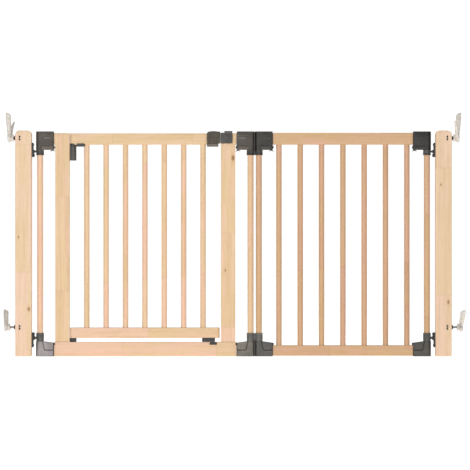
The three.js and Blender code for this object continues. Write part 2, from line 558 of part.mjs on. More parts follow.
function hingeBarrel() {
  const zs = [BRACKET_LEG_Z - FIT - HINGE_BARREL_HEIGHT, BRACKET_LEG_Z - FIT];
  const pad = slab([FIT - LEAF_HINGE_GAP - LEAF_END_RADIUS, 0], HINGE_LEG_WIDTH, zs);
  const bore = upright(HINGE_PIN / 2 + RUN, 0, [zs[0] - CUT, zs[1] + CUT], 16);
  return piece('hinge_barrel', upright(HINGE_BARREL / 2, 0, zs).add(pad).subtract(bore), DARK_PLASTIC);
}

function hingePin() {
  const foot = BRACKET_LEG_Z - HINGE_BARREL_HEIGHT;
  return piece('hinge_pin', upright(HINGE_PIN / 2, 0, [foot, LEAF_TOP_RAIL_Z + HINGE_PIN_GRIP], 16), STEEL);
}

function lowerPivot() {
  const reach = LEAF_END_RADIUS + LEAF_HINGE_GAP / 2;
  const zs = [THRESHOLD_HEIGHT + FIT, LEAF_FOOT - FIT];
  const block = frontOutline(rectangle([-reach, reach], zs), RAIL_DEPTH - 2, 1);
  const pin = upright(HINGE_PIN / 2, 0, [zs[0] + CUT, LEAF_FOOT + HINGE_PIN_GRIP], 16);
  return piece('lower_pivot', block.add(pin), DARK_PLASTIC);
}

function doorFrame() {
  const frame = new THREE.Group();
  elementCorners(frame, 'door', DOOR_SPAN);
  frame.add(piece('threshold', spanRail(DOOR_SPAN, [0, THRESHOLD_HEIGHT], LOWER_TENON_Z), WOOD));
  frame.add(at(piece('hinge_stile', stileSolid(), WOOD), STILE_OFFSET));
  const latchSide = new THREE.Group();
  latchSide.add(piece('latch_stile', latchStile(), WOOD), strikerHousing());
  latchSide.rotation.z = Math.PI;
  frame.add(at(latchSide, DOOR_SPAN - STILE_OFFSET));
  const hinge = new THREE.Group();
  hinge.add(hingeBarrel(), hingePin(), lowerPivot(), doorLeaf());
  frame.add(at(hinge, HINGE_X));
  return frame;
}

// ---- fixed panel: x = 0 is its left dowel's axis ----
function fixedPanel() {
  const panel = new THREE.Group();
  elementCorners(panel, 'panel', PANEL_SPAN);
  const first = CONNECTOR_REACH + PANEL_SLAT_INSET;
  const pitch = (PANEL_SPAN - 2 * first) / (PANEL_SLATS - 1);
  const xs = Array.from({ length: PANEL_SLATS }, (_, i) => first + i * pitch);
  const topZs = [GATE_HEIGHT - PANEL_TOP_DROP - PANEL_TOP_RAIL, GATE_HEIGHT - PANEL_TOP_DROP];
  const bottomZs = [PANEL_FOOT, PANEL_FOOT + PANEL_BOTTOM_RAIL];
  const top = drillPegHoles(spanRail(PANEL_SPAN, topZs, UPPER_TENON_Z), xs, topZs[0], 1);
  const bottom = drillPegHoles(spanRail(PANEL_SPAN, bottomZs, LOWER_TENON_Z), xs, bottomZs[1], -1);
  panel.add(piece('panel_top_rail', top, WOOD), piece('panel_bottom_rail', bottom, WOOD));
  slatRow(panel, 'panel_slat', xs, bottomZs[1], topZs[0], WARM_WOOD);
  return panel;
}

const gate = new THREE.Group();
gate.add(at(clampEnd('left', -1), POST_WIDTH - HALF_LENGTH));
const rightEnd = clampEnd('right', 1);
rightEnd.rotation.z = Math.PI;
gate.add(at(rightEnd, HALF_LENGTH - POST_WIDTH));
gate.add(at(doorFrame(), DOOR_X));
gate.add(at(middleLink('middle_link_upper', UPPER_KNUCKLE), PANEL_X - DOWEL_SPACING, UPPER_KNUCKLE_Z));
gate.add(at(middleLink('middle_link_lower', LOWER_KNUCKLE), PANEL_X - DOWEL_SPACING, LOWER_KNUCKLE_Z));
gate.add(at(fixedPanel(), PANEL_X));

export default gate;
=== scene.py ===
"""The looks of a clamp-fit wooden baby gate, built piece by piece over its frame.

Forms are shaped in millimetres and become metres when they are made pieces.
+Z is up, +X runs along the gate and -Y is its front.
"""

import logging
import math
from collections.abc import Sequence
from dataclasses import dataclass
from enum import Enum
from typing import ClassVar

import bmesh
import bpy
from mathutils import Matrix, Vector


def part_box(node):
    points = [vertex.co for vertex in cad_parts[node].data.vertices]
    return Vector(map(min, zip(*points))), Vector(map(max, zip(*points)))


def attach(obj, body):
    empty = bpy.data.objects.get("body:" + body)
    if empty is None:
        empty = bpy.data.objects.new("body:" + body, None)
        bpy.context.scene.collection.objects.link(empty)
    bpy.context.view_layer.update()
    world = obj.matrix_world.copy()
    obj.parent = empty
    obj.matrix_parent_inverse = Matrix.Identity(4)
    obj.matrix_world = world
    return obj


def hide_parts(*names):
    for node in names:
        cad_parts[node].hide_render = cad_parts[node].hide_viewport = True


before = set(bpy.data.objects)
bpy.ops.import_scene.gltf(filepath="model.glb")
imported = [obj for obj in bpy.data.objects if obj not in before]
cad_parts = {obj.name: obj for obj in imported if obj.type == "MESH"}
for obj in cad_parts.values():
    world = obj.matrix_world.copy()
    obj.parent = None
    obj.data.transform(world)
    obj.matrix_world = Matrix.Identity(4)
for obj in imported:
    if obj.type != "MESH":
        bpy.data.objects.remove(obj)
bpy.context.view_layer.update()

LOG = logging.getLogger("baby_gate")
MM = 0.001
FIT = 0.3
CONNECTOR_LENGTH = 64.85
SMOOTH_BELOW = math.radians(38)
BOTH_FACES = (-1.0, 1.0)
STILL = Matrix.Identity(4)
ALONG_X = Matrix.Rotation(math.pi / 2, 4, "Y")
ALONG_Y = Matrix.Rotation(-math.pi / 2, 4, "X")
UPRIGHT = Matrix.Rotation(math.pi / 2, 4, "X")

Pair = tuple[float, float]
Outline = list[Pair]
Oval = tuple[Vector, float, float]
Colour = tuple[float, float, float, float]
Settings = dict[str, object]
Sockets = dict[object, object]


def screen(red: int, green: int, blue: int) -> Colour:
    """Gives the linear colour of three screen values.

    Args:
        red: Screen value, 0 to 255.
        green: Screen value, 0 to 255.
        blue: Screen value, 0 to 255.

    Returns:
        The linear colour with full alpha.
    """
    linear = [((value / 255 + 0.055) / 1.055) ** 2.4 for value in (red, green, blue)]
    return (*linear, 1.0)


def toned(colour: Colour, factor: float, lift: float = 0.0) -> Colour:
    """Gives a lighter or darker tone of a colour."""
    return (*[min(1.0, value * factor + lift) for value in colour[:3]], 1.0)


def span(one: float, other: float) -> Pair:
    """Gives two numbers in rising order."""
    return (min(one, other), max(one, other))


class Grain(Enum):
    """The way that a member's grain runs, by its axis."""

    LEVEL = 0
    UPRIGHT = 2


class Side(Enum):
    """An end of the gate."""

    LEFT = "left"
    RIGHT = "right"


class Level(Enum):
    """The upper or the lower one of two like fittings."""

    UPPER = "upper"
    LOWER = "lower"


# ---------------------------------------------------------------- shading


class Signal:
    """A number that varies over a surface, combined with Python operators."""

    def __init__(self, nodes: "Nodes", socket: bpy.types.NodeSocket) -> None:
        """Wraps an output socket.

        Args:
            nodes: The node tree that the socket belongs to.
            socket: The output that gives the number.
        """
        self.nodes = nodes
        self.socket = socket

    def _math(self, operation: str, *values: object) -> "Signal":
        """Adds a Math node.

        Args:
            operation: Blender's name of the operation.
            values: Its inputs in order.

        Returns:
            The node's result.
        """
        sockets = dict(enumerate(values))
        return self.nodes.signal("ShaderNodeMath", {"operation": operation}, sockets)

    def __add__(self, other: object) -> "Signal":
        """Adds."""
        return self._math("ADD", self, other)

    __radd__ = __add__

    def __sub__(self, other: object) -> "Signal":
        """Subtracts."""
        return self._math("SUBTRACT", self, other)

    def __rsub__(self, other: object) -> "Signal":
        """Is subtracted."""
        return self._math("SUBTRACT", other, self)

    def __mul__(self, other: object) -> "Signal":
        """Multiplies."""
        return self._math("MULTIPLY", self, other)

    __rmul__ = __mul__

    def __pow__(self, other: object) -> "Signal":
        """Raises to a power."""
        return self._math("POWER", self, other)

    def floor(self) -> "Signal":
        """Rounds down."""
        return self._math("FLOOR", self)

    def fraction(self) -> "Signal":
        """Keeps what rounding down leaves."""
        return self._math("FRACT", self)

    def size(self) -> "Signal":
        """Drops the sign."""
        return self._math("ABSOLUTE", self)

    def smooth(self, low: float, high: float) -> "Signal":
        """Steps softly from 0 at low to 1 at high.

        Args:
            low: Where the step starts.
            high: Where the step ends.

        Returns:
            The step, 0 to 1.
        """
        settings = {"interpolation_type": "SMOOTHSTEP"}
        sockets = {"Value": self, "From Min": low, "From Max": high}
        return self.nodes.signal("ShaderNodeMapRange", settings, sockets)


class Nodes:
    """A node tree that is built up node by node."""

    def __init__(self, owner: bpy.types.Material | bpy.types.World) -> None:
        """Empties the owner's node tree and takes it over.

        Args:
            owner: The material or world.
        """
        owner.use_nodes = True
        self.tree = owner.node_tree
        self.tree.nodes.clear()

    def node(self, kind: str, settings: Settings, sockets: Sockets) -> bpy.types.Node:
        """Adds a node: its settings first, and then its inputs.

        Args:
            kind: The node's type.
            settings: Attributes of the node. "stops" are a ramp's (position, colour) pairs.
            sockets: Values, signals or sockets by input name or number.

        Returns:
            The node.
        """
        made = self.tree.nodes.new(kind)
        for name, value in settings.items():
            if name == "stops":
                self._stops(made.color_ramp.elements, value)
            else:
                setattr(made, name, value)
        self.feed(made, sockets)
        return made

    def _stops(self, elements: bpy.types.ColorRampElements, stops: Sequence[tuple[float, Colour]]) -> None:
        """Sets a colour ramp's stops.

        Args:
            elements: The ramp's stops.
            stops: Position and colour of each, two or more.
        """
        for index, (position, colour) in enumerate(stops):
            element = elements[index] if index < len(elements) else elements.new(position)
            element.position = position
            element.color = colour

    def feed(self, node: bpy.types.Node, sockets: Sockets) -> None:
        """Sets or links a node's inputs.

        Args:
            node: The node.
            sockets: Values, signals or sockets by input name or number.
        """
        for name, value in sockets.items():
            if isinstance(value, Signal):
                self.tree.links.new(value.socket, node.inputs[name])
            elif isinstance(value, bpy.types.NodeSocket):
                self.tree.links.new(value, node.inputs[name])
            else:
                node.inputs[name].default_value = value

    def signal(self, kind: str, settings: Settings, sockets: Sockets) -> Signal:
        """Adds a node and gives its first output as a signal."""
        return Signal(self, self.node(kind, settings, sockets).outputs[0])

    def axes(self, vector: bpy.types.NodeSocket) -> list[Signal]:
        """Splits a vector into its three numbers."""
        parts = self.node("ShaderNodeSeparateXYZ", {}, {0: vector})
        return [Signal(self, output) for output in parts.outputs]

    def vector(self, x: object, y: object, z: object) -> bpy.types.NodeSocket:
        """Joins three numbers into a vector."""
        return self.node("ShaderNodeCombineXYZ", {}, {0: x, 1: y, 2: z}).outputs[0]

    def noise(self, vector: object, scale: float, detail: float = 2.0, roughness: float = 0.5) -> Signal:
        """Gives soft noise, 0 to 1.

        Args:
            vector: Where it is read.
            scale: Waves per unit.
            detail: Octaves of finer noise.
            roughness: Weight of the finer octaves.

        Returns:
            The noise.
        """
        sockets = {"Vector": vector, "Scale": scale, "Detail": detail, "Roughness": roughness}
        return self.signal("ShaderNodeTexNoise", {}, sockets)

    def chance(self, vector: object) -> Signal:
        """Gives one random number for each value of a vector."""
        return self.signal("ShaderNodeTexWhiteNoise", {"noise_dimensions": "3D"}, {"Vector": vector})

    def mix(self, factor: object, first: object, second: object) -> bpy.types.NodeSocket:
        """Mixes two colours.

        Args:
            factor: 0 for the first, 1 for the second.
            first: A colour.
            second: A colour.

        Returns:
            The mixed colour.
        """
        sockets = {0: factor, 6: first, 7: second}
        return self.node("ShaderNodeMix", {"data_type": "RGBA"}, sockets).outputs[2]

    def ramp(self, value: object, stops: Sequence[tuple[float, Colour]]) -> bpy.types.NodeSocket:
        """Turns a number into a colour.

        Args:
            value: The number.
            stops: Position and colour of each stop.

        Returns:
            The colour.
        """
        return self.node("ShaderNodeValToRGB", {"stops": stops}, {0: value}).outputs[0]

    def bump(self, height: object, distance: float, strength: float = 1.0) -> bpy.types.NodeSocket:
        """Turns a height into a normal.

        Args:
            height: The height, 0 to 1.
            distance: Metres that a height of 1 stands for.
            strength: How much of it shows.

        Returns:
            The normal.
        """
        sockets = {"Height": height, "Distance": distance, "Strength": strength}
        return self.node("ShaderNodeBump", {}, sockets).outputs[0]


class Shading(Nodes):
    """A material with one Principled shader."""

    def __init__(self, name: str) -> None:
        """Starts a material.

        Args:
            name: The material's name.
        """
        self.material = bpy.data.materials.new(name)
        super().__init__(self.material)
        self.surface = self.node("ShaderNodeBsdfPrincipled", {}, {})
        self.node("ShaderNodeOutputMaterial", {}, {"Surface": self.surface.outputs["BSDF"]})
        self.place = self.node("ShaderNodeTexCoord", {}, {}).outputs["Object"]

    def spot(self, seed: float) -> bpy.types.NodeSocket:
        """Gives the place on the piece, moved by a seed so that no two pieces look alike."""
        sockets = {"Vector": self.place, "Location": (seed,) * 3}
        return self.node("ShaderNodeMapping", {}, sockets).outputs[0]

    def dress(self, sockets: Sockets) -> bpy.types.Material:
        """Feeds the shader and gives the finished material."""
        self.feed(self.surface, sockets)
        return self.material


@dataclass(frozen=True)
class WoodTone:
    """The colours of one batch of beech: early wood, late wood, and its pinker and yellower staves."""

    early: Colour
    late: Colour
    pink: Colour
    straw: Colour

    @classmethod
    def of(cls, *values: tuple[int, int, int]) -> "WoodTone":
        """Makes a batch's colours from screen values."""
        return cls(*[screen(*value) for value in values])


POST_BEECH = WoodTone.of((232, 207, 174), (206, 170, 132), (236, 202, 180), (226, 200, 160))
FRAME_BEECH = WoodTone.of((228, 199, 163), (202, 164, 122), (234, 196, 172), (224, 196, 150))
SLAT_BEECH = WoodTone.of((232, 200, 164), (208, 168, 126), (238, 196, 172), (228, 199, 156))
WARM_BEECH = WoodTone.of((210, 170, 132), (182, 138, 102), (212, 166, 138), (206, 170, 124))
RUBBED_BEECH = WoodTone.of((214, 176, 140), (184, 142, 104), (216, 172, 146), (208, 174, 128))


@dataclass(frozen=True)
class Knot:
    """A small sound knot on a face, in metres."""

    x: float
    y: float
    z: float
    radius: float


@dataclass(frozen=True)
class Beech:
    """Lacquered steamed beech, in finger-jointed staves."""

    tone: WoodTone
    grain: Grain
    seed: float
    slot: str
    stave: float
    lamella: float = 0.0
    knots: tuple[Knot, ...] = ()
    finger_rate: float = 250.0
    finger_depth: float = 0.018
    ring_rate: float = 310.0

    def material(self, name: str) -> bpy.types.Material:
        """Makes the material: staves, growth rings, fibres, flecks, knots and a satin lacquer.

        Args:
            name: The material's name.

        Returns:
            The material.
        """
        look = Shading(name)
        axes = look.axes(look.place)
        along = axes.pop(self.grain.value)
        across, deep = axes
        tooth = ((across * self.finger_rate).fraction() - 0.5).size() * self.finger_depth
        length = (along + tooth) * (1 / self.stave) + self.seed * 3.7
        cell = length.floor()
        strip = (across * (1 / self.lamella) + self.seed).floor() if self.lamella else self.seed
        stave = look.chance(look.vector(cell, strip, self.seed))
        drift = look.noise(look.vector(stave * 40.0, self.seed, along * 2.2), 1.0, 2.0) - 0.5
        shift = stave * 3.1
        field = look.vector(across * 34.0 + shift, deep * 34.0 + shift, along * 1.7)
        broad = look.noise(field, 1.0, 3.0, 0.55)
        centre = (across + drift * 0.06) ** 2.0 + (deep + 0.03 + stave * 0.03) ** 2.0
        rings = ((centre ** 0.5) * self.ring_rate + broad * 4.0 + shift).fraction()
        rings = rings.smooth(0.25, 0.95) * (1 - rings.smooth(0.95, 1.0))
        fibre = look.noise(look.vector(across * 900.0, deep * 900.0, along * 26.0 + shift), 1.0, 3.0, 0.6)
        streak = look.noise(look.vector(across * 210.0, deep * 210.0, along * 5.0 + shift), 1.0, 2.0)
        fleck = look.noise(look.vector(across * 1500.0, deep * 1500.0, along * 190.0), 1.0, 1.0)
        fleck = fleck.smooth(0.66, 0.74)
        body = look.mix(broad.smooth(0.32, 0.72) * 0.62, self.tone.early, self.tone.late)
        body = look.mix(stave.smooth(0.45, 0.95) * 0.75, body, self.tone.pink)
        body = look.mix((1 - stave).smooth(0.5, 0.95) * 0.65, body, self.tone.straw)
        patch = look.noise(look.vector(across * 48.0 + shift, deep * 48.0, along * 8.0), 1.0, 2.0)
        body = look.mix(patch.smooth(0.5, 0.68) * 0.6, body, self.tone.pink)
        body = look.mix((1 - patch).smooth(0.5, 0.68) * 0.55, body, self.tone.straw)
        body = look.mix(rings * 0.30, body, self.tone.late)
        body = look.mix(streak.smooth(0.5, 0.72) * 0.42, body, self.tone.late)
        body = look.mix(fibre.smooth(0.35, 0.75) * 0.16, body, screen(176, 128, 84))
        body = look.mix(fleck * 0.34, body, screen(150, 98, 60))
        joint = 1 - (length.fraction() - 0.5).size().smooth(0.4975, 0.4992)
        body = look.mix((1 - joint) * 0.35, body, screen(150, 104, 66))
        for knot in self.knots:
            body = self._knot(look, body, knot)
        height = fibre * 0.5 + rings * 0.25 - fleck * 0.5 + joint * 0.4
        gloss = 0.44 + fibre * 0.08 + broad * 0.07 + fleck * 0.1
        sockets = {"Base Color": body, "Roughness": gloss, "Normal": look.bump(height, 0.00012, 0.6)}
        return look.dress({**sockets, "Coat Weight": 0.12, "Coat Roughness": 0.28, "IOR": 1.45})

    def _knot(self, look: Shading, body: bpy.types.NodeSocket, knot: Knot) -> bpy.types.NodeSocket:
        """Lays a knot over the wood.

        Args:
            look: The material's shading.
            body: The wood's colour so far.
            knot: The knot.

        Returns:
            The colour with the knot.
        """
        x, y, z = look.axes(look.place)
        flat = 0.55 if self.grain is Grain.UPRIGHT else 1.0
        wide = 0.55 if self.grain is Grain.LEVEL else 1.0
        distance = ((x - knot.x) * wide) ** 2.0 + (y - knot.y) ** 2.0 + ((z - knot.z) * flat) ** 2.0
        ragged = look.noise(look.place, 160.0, 2.0) * 0.5 + 0.75
        ring = (distance ** 0.5) * (1 / knot.radius) * ragged
        body = look.mix((1 - ring.smooth(0.6, 2.6)) * 0.5, body, self.tone.late)
        body = look.mix((1 - ring.smooth(0.5, 1.1)) * 0.75, body, screen(150, 96, 56))
        return look.mix((1 - ring.smooth(0.15, 0.5)) * 0.6, body, screen(96, 58, 34))


@dataclass(frozen=True)
class MouldedNylon:
    """Dark glass-filled nylon with a fine spark-eroded texture."""

    slot: ClassVar[str] = "plastic_dark"
    colour: Colour
    seed: float
    roughness: float

    def material(self, name: str) -> bpy.types.Material:
        """Makes the material: mottled colour, moulding flow, scuffs and a fine grain.

        Args:
            name: The material's name.

        Returns:
            The material.
        """
        look = Shading(name)
        turned = look.spot(self.seed)
        cloud = look.noise(turned, 34.0, 3.0, 0.6)
        x, y, z = look.axes(turned)
        flow = look.noise(look.vector(x * 60.0, y * 60.0, z * 420.0), 1.0)
        spark = look.noise(turned, 2600.0, 2.0, 0.6)
        speck = look.noise(turned, 900.0, 1.0).smooth(0.66, 0.72)
        scuff = look.noise(turned, 150.0, 4.0, 0.7).smooth(0.56, 0.7)
        light = toned(self.colour, 1.5, 0.012)
        dark = toned(self.colour, 0.68)
        body = look.ramp(cloud, ((0.25, dark), (0.5, self.colour), (0.8, light)))
        body = look.mix(flow.smooth(0.5, 0.8) * 0.22, body, light)
        body = look.mix(scuff * 0.22, body, light)
        body = look.mix(speck * 0.25, body, light)
        gloss = self.roughness + cloud * 0.1 + spark * 0.08 - scuff * 0.05
        height = spark * 0.7 + speck * 0.3
        sockets = {"Base Color": body, "Roughness": gloss, "Normal": look.bump(height, 0.00005, 0.5)}
        return look.dress({**sockets, "IOR": 1.53})


@dataclass(frozen=True)
class PaleNylon:
    """Unfilled nylon, beige-grey and slightly translucent."""

    slot: ClassVar[str] = "plastic_pale"
    colour: Colour
    seed: float

    def material(self, name: str) -> bpy.types.Material:
        """Makes the material: cloudy colour, faint flow lines and a satin skin.

        Args:
            name: The material's name.

        Returns:
            The material.
        """
        look = Shading(name)
        turned = look.spot(self.seed)
        cloud = look.noise(turned, 55.0, 3.0, 0.55)
        fine = look.noise(turned, 1400.0, 2.0)
        deep = toned(self.colour, 0.8)
        body = look.mix(cloud.smooth(0.35, 0.75) * 0.7, self.colour, deep)
        body = look.mix(fine.smooth(0.6, 0.75) * 0.12, body, deep)
        sockets = {
            "Base Color": body,
            "Roughness": 0.34 + cloud * 0.12 + fine * 0.05,
            "Normal": look.bump(fine, 0.00004, 0.4),
            "Subsurface Weight": 0.12,
            "Subsurface Scale": 0.004,
        }
        return look.dress(sockets)


@dataclass(frozen=True)
class ZincSteel:
    """Bright zinc-plated steel."""

    slot: ClassVar[str] = "steel"
    seed: float

    def material(self, name: str) -> bpy.types.Material:
        """Makes the material: a faintly blue and yellow plating with dull patches.

        Args:
            name: The material's name.

        Returns:
            The material.
        """
        look = Shading(name)
        turned = look.spot(self.seed)
        cloud = look.noise(turned, 120.0, 3.0)
        grit = look.noise(turned, 1900.0, 2.0)
        stops = ((0.3, screen(158, 162, 168)), (0.55, screen(184, 184, 182)), (0.8, screen(186, 178, 158)))
        gloss = 0.24 + cloud * 0.18 + grit * 0.06
        sockets = {"Base Color": look.ramp(cloud, stops), "Metallic": 1.0, "Roughness": gloss}
        return look.dress({**sockets, "Normal": look.bump(grit, 0.00003, 0.4)})


@dataclass(frozen=True)
class BlackSteel:
    """Oil-blackened steel, rubbed to bare metal in places."""

    slot: ClassVar[str] = "steel"
    seed: float

    def material(self, name: str) -> bpy.types.Material:
        """Makes the material: a brown-black skin with bright rubs.

        Args:
            name: The material's name.

        Returns:
            The material.
        """
        look = Shading(name)
        turned = look.spot(self.seed)
        cloud = look.noise(turned, 150.0, 3.0)
        grit = look.noise(turned, 1700.0, 2.0)
        rub = look.noise(turned, 420.0, 3.0, 0.7).smooth(0.55, 0.72)
        skin = look.mix(cloud, screen(64, 54, 46), screen(92, 82, 74))
        body = look.mix(rub * 0.5, skin, screen(150, 146, 140))
        gloss = 0.42 + cloud * 0.15 - rub * 0.12
        sockets = {"Base Color": body, "Metallic": 0.8, "Roughness": gloss}
        return look.dress({**sockets, "Normal": look.bump(grit, 0.00004, 0.5)})


Finish = Beech | MouldedNylon | PaleNylon | ZincSteel | BlackSteel

DARK = screen(64, 57, 49)
NEAR_BLACK = screen(40, 38, 35)
MID_GREY = screen(108, 103, 94)
LILAC_GREY = screen(142, 135, 136)
GREEN_GREY = screen(64, 57, 40)
BLUE_GREY = screen(54, 49, 50)
TAB_GREY = screen(100, 92, 82)
WHITE = (1.0, 1.0, 1.0, 1.0)


# ---------------------------------------------------------------- forms


@dataclass(frozen=True)
class Box:
    """A CAD node's box at rest, in millimetres."""

    x: Pair
    y: Pair
    z: Pair

    def middle(self) -> Vector:
        """Gives the box's middle."""
        return Vector([sum(pair) / 2 for pair in (self.x, self.y, self.z)])


def cad(node: str) -> Box:
    """Reads a CAD node's box.

    Args:
        node: The node's name.

    Returns:
        Its box in millimetres.
    """
    low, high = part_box(node)
    return Box(*[(low[axis] / MM, high[axis] / MM) for axis in range(3)])


def rounded(outline: Outline, radius: float, steps: int = 5) -> Outline:
    """Rounds every corner of an outline.

    Args:
        outline: The corners in order.
        radius: How far from a corner its rounding starts.
        steps: Points on each rounding.

    Returns:
        The rounded outline.
    """
    points: Outline = []
    corners = [Vector(point) for point in outline]
    for index, corner in enumerate(corners):
        before = corners[index - 1] - corner
        after = corners[(index + 1) % len(corners)] - corner
        reach = min(radius, before.length * 0.45, after.length * 0.45)
        start = corner + before.normalized() * reach
        end = corner + after.normalized() * reach
        for step in range(steps):
            part = step / (steps - 1)
            bend = start.lerp(corner, part).lerp(corner.lerp(end, part), part)
            points.append((bend.x, bend.y))
    return points


def rectangle(xs: Pair, zs: Pair) -> Outline:
    """Gives a rectangle's corners in order."""
    return [(xs[0], zs[0]), (xs[1], zs[0]), (xs[1], zs[1]), (xs[0], zs[1])]


def arc(radius: float, start: float, end: float, steps: int) -> Outline:
    """Gives the points of an arc about the origin.

    Args:
        radius: Its radius.
        start: The angle of its first point, in half turns.
        end: The angle of its last point, in half turns.
        steps: Steps between its points.

    Returns:
        The points in order.
    """
    turns = [math.pi * (start + (end - start) * step / steps) for step in range(steps + 1)]
    return [(radius * math.cos(turn), radius * math.sin(turn)) for turn in turns]


def half_round(radius: float, reach: float) -> Outline:
    """Gives the plan of a bar with a half-round end about the origin and a square end at reach."""
    return [(reach, -radius), (reach, radius), *arc(radius, 0.5, 1.5, 24)]


class Form:
    """A solid under construction, in millimetres.

    Methods that shape it give it back, so that calls can be chained.
    """

    def __init__(self) -> None:
        """Starts an empty form."""
        self.mesh = bmesh.new()

    @classmethod
    def block(cls, xs: Pair, ys: Pair, zs: Pair) -> "Form":
        """Makes a block.

        Args:
            xs: Its extent along X.
            ys: Its extent along Y.
            zs: Its extent along Z.

        Returns:
            The form.
        """
        form = cls()
        spans = (xs, ys, zs)
        bmesh.ops.create_cube(form.mesh, size=1.0)
        bmesh.ops.scale(form.mesh, vec=[high - low for low, high in spans], verts=form.mesh.verts)
        bmesh.ops.translate(form.mesh, vec=[sum(span) / 2 for span in spans], verts=form.mesh.verts)
        return form

    @classmethod
    def turned(cls, profile: Outline, ring: bool = False, sides: int = 48) -> "Form":
        """Spins a profile round the Z axis.

        Args:
            profile: (radius, height) points in order.
            ring: Whether the profile closes on itself, as a bored piece's does.
            sides: Steps round the axis.

        Returns:
            The form.
        """
        form = cls()
        verts = [form.mesh.verts.new((radius, 0.0, height)) for radius, height in profile]
        ends = list(zip(verts, verts[1:])) + ([(verts[-1], verts[0])] if ring else [])
        edges = [form.mesh.edges.new(pair) for pair in ends]
        about = {"axis": (0, 0, 1), "cent": (0, 0, 0), "angle": 2 * math.pi}
        bmesh.ops.spin(form.mesh, geom=verts + edges, steps=sides, use_merge=True, **about)
        bmesh.ops.remove_doubles(form.mesh, verts=form.mesh.verts, dist=1e-4)
        bmesh.ops.recalc_face_normals(form.mesh, faces=form.mesh.faces)
        return form

    @classmethod
    def extruded(cls, outline: Outline, zs: Pair) -> "Form":
        """Extrudes an outline in the XY plane.

        Args:
            outline: Its corners in order.
            zs: The heights that it reaches from and to.

        Returns:
            The form.
        """
        form = cls()
        base = form.mesh.faces.new([form.mesh.verts.new((x, y, zs[0])) for x, y in outline])
        grown = bmesh.ops.extrude_face_region(form.mesh, geom=[base])["geom"]
        risen = [item for item in grown if isinstance(item, bmesh.types.BMVert)]
        bmesh.ops.translate(form.mesh, vec=(0, 0, zs[1] - zs[0]), verts=risen)
        bmesh.ops.recalc_face_normals(form.mesh, faces=form.mesh.faces)
        return form

    @classmethod
    def swept(cls, stations: Sequence[Oval], turn: Matrix, sides: int) -> "Form":
        """Lofts ovals one after another.

        Args:
            stations: Each oval's middle and its two half widths.
            turn: Turns the ovals from the XY plane.
            sides: Corners of each oval.

        Returns:
            The form, closed at both ends.
        """
        form = cls()
        before: list[bmesh.types.BMEdge] = []
        for middle, wide, deep in stations:
            shape = Matrix.Translation(middle) @ turn @ Matrix.Diagonal((wide, deep, 1.0, 1.0))
            circle = {"cap_ends": False, "radius": 1.0, "segments": sides, "matrix": shape}
            verts = bmesh.ops.create_circle(form.mesh, **circle)["verts"]
            edges = dict.fromkeys(edge for vert in verts for edge in vert.link_edges)
            loop = [edge for edge in edges if all(vert in verts for vert in edge.verts)]
            if before:
                bmesh.ops.bridge_loops(form.mesh, edges=before + loop)
            before = loop
        bmesh.ops.holes_fill(form.mesh, edges=form.mesh.edges, sides=0)
        bmesh.ops.recalc_face_normals(form.mesh, faces=form.mesh.faces)
        return form

    @classmethod
    def rod(
        cls, radius: float, ends: Pair, turn: Matrix = STILL, sides: int = 48, ease: float = 0.0
    ) -> "Form":
        """Makes a rod about an axis through the origin.

        Args:
            radius: Its radius.
            ends: Where it starts and ends on the axis.
            turn: Turns it from the Z axis.
            sides: Its sides.
            ease: How far its ends are eased.

        Returns:
            The form.
        """
        low, high = ends
        flank = [(radius - ease, low), (radius, low + ease), (radius, high - ease), (radius - ease, high)]
        if not ease:
            flank = flank[1:3]
        return cls.turned([(0.0, low), *flank, (0.0, high)], sides=sides).moved(turn)

    @classmethod
    def threaded(cls, radius: float, length: float, pitch: float = 1.25, steps: int = 14) -> "Form":
        """Makes a threaded rod along +X from the origin.

        Args:
            radius: Its radius over the thread.
            length: Its length.
            pitch: The thread's pitch.
            steps: Steps of the thread in a turn.

        Returns:
            The form.
        """
        form = cls()
        core = radius - 0.6
        corners = [(0.0, 0.0, core - 0.1), (pitch * 0.5, 0.0, radius), (pitch, 0.0, core - 0.1)]
        face = form.mesh.faces.new([form.mesh.verts.new(corner) for corner in corners])
        turns = math.floor(length / pitch) - 2
        rise = (pitch / steps, 0.0, 0.0)
        spun = {"axis": (1, 0, 0), "cent": (0, 0, 0), "dvec": rise, "angle": 2 * math.pi * turns}
        bmesh.ops.spin(form.mesh, geom=[*face.verts, *face.edges, face], steps=turns * steps, **spun)
        bmesh.ops.translate(form.mesh, vec=(pitch / 2, 0, 0), verts=form.mesh.verts)
        bmesh.ops.recalc_face_normals(form.mesh, faces=form.mesh.faces)
        return form.with_(cls.rod(core, (0.0, length), ALONG_X, 24, 0.5))

    def moved(self, matrix: Matrix) -> "Form":
        """Moves the form by a matrix."""
        bmesh.ops.transform(self.mesh, matrix=matrix, verts=self.mesh.verts)
        return self

    def shifted(self, x: float = 0.0, y: float = 0.0, z: float = 0.0) -> "Form":
        """Shifts the form."""
        return self.moved(Matrix.Translation((x, y, z)))

    def stood(self) -> "Form":
        """Stands a form that was extruded flat up, so that its outline lies in the XZ plane."""
        return self.moved(UPRIGHT)

    def upended(self) -> "Form":
        """Mirrors the form from top to bottom, through the origin.

        Returns:
            The form.
        """
        self.moved(Matrix.Diagonal((1.0, 1.0, -1.0, 1.0)))
        bmesh.ops.reverse_faces(self.mesh, faces=self.mesh.faces)
        return self

    def eased(self, width: float, segments: int = 3, above: float = 40.0) -> "Form":
        """Rounds the form's sharp edges.

        Args:
            width: The rounding's width.
            segments: Faces across it.
            above: Angle in degrees that an edge is sharp above.

        Returns:
            The form.
        """
        sharp = [edge for edge in self.mesh.edges if edge.calc_face_angle(0.0) > math.radians(above)]
        made = {"offset": width, "offset_type": "OFFSET", "segments": segments, "clamp_overlap": True}
        bmesh.ops.bevel(self.mesh, geom=sharp, affect="EDGES", profile=0.5, material=-1, **made)
        return self

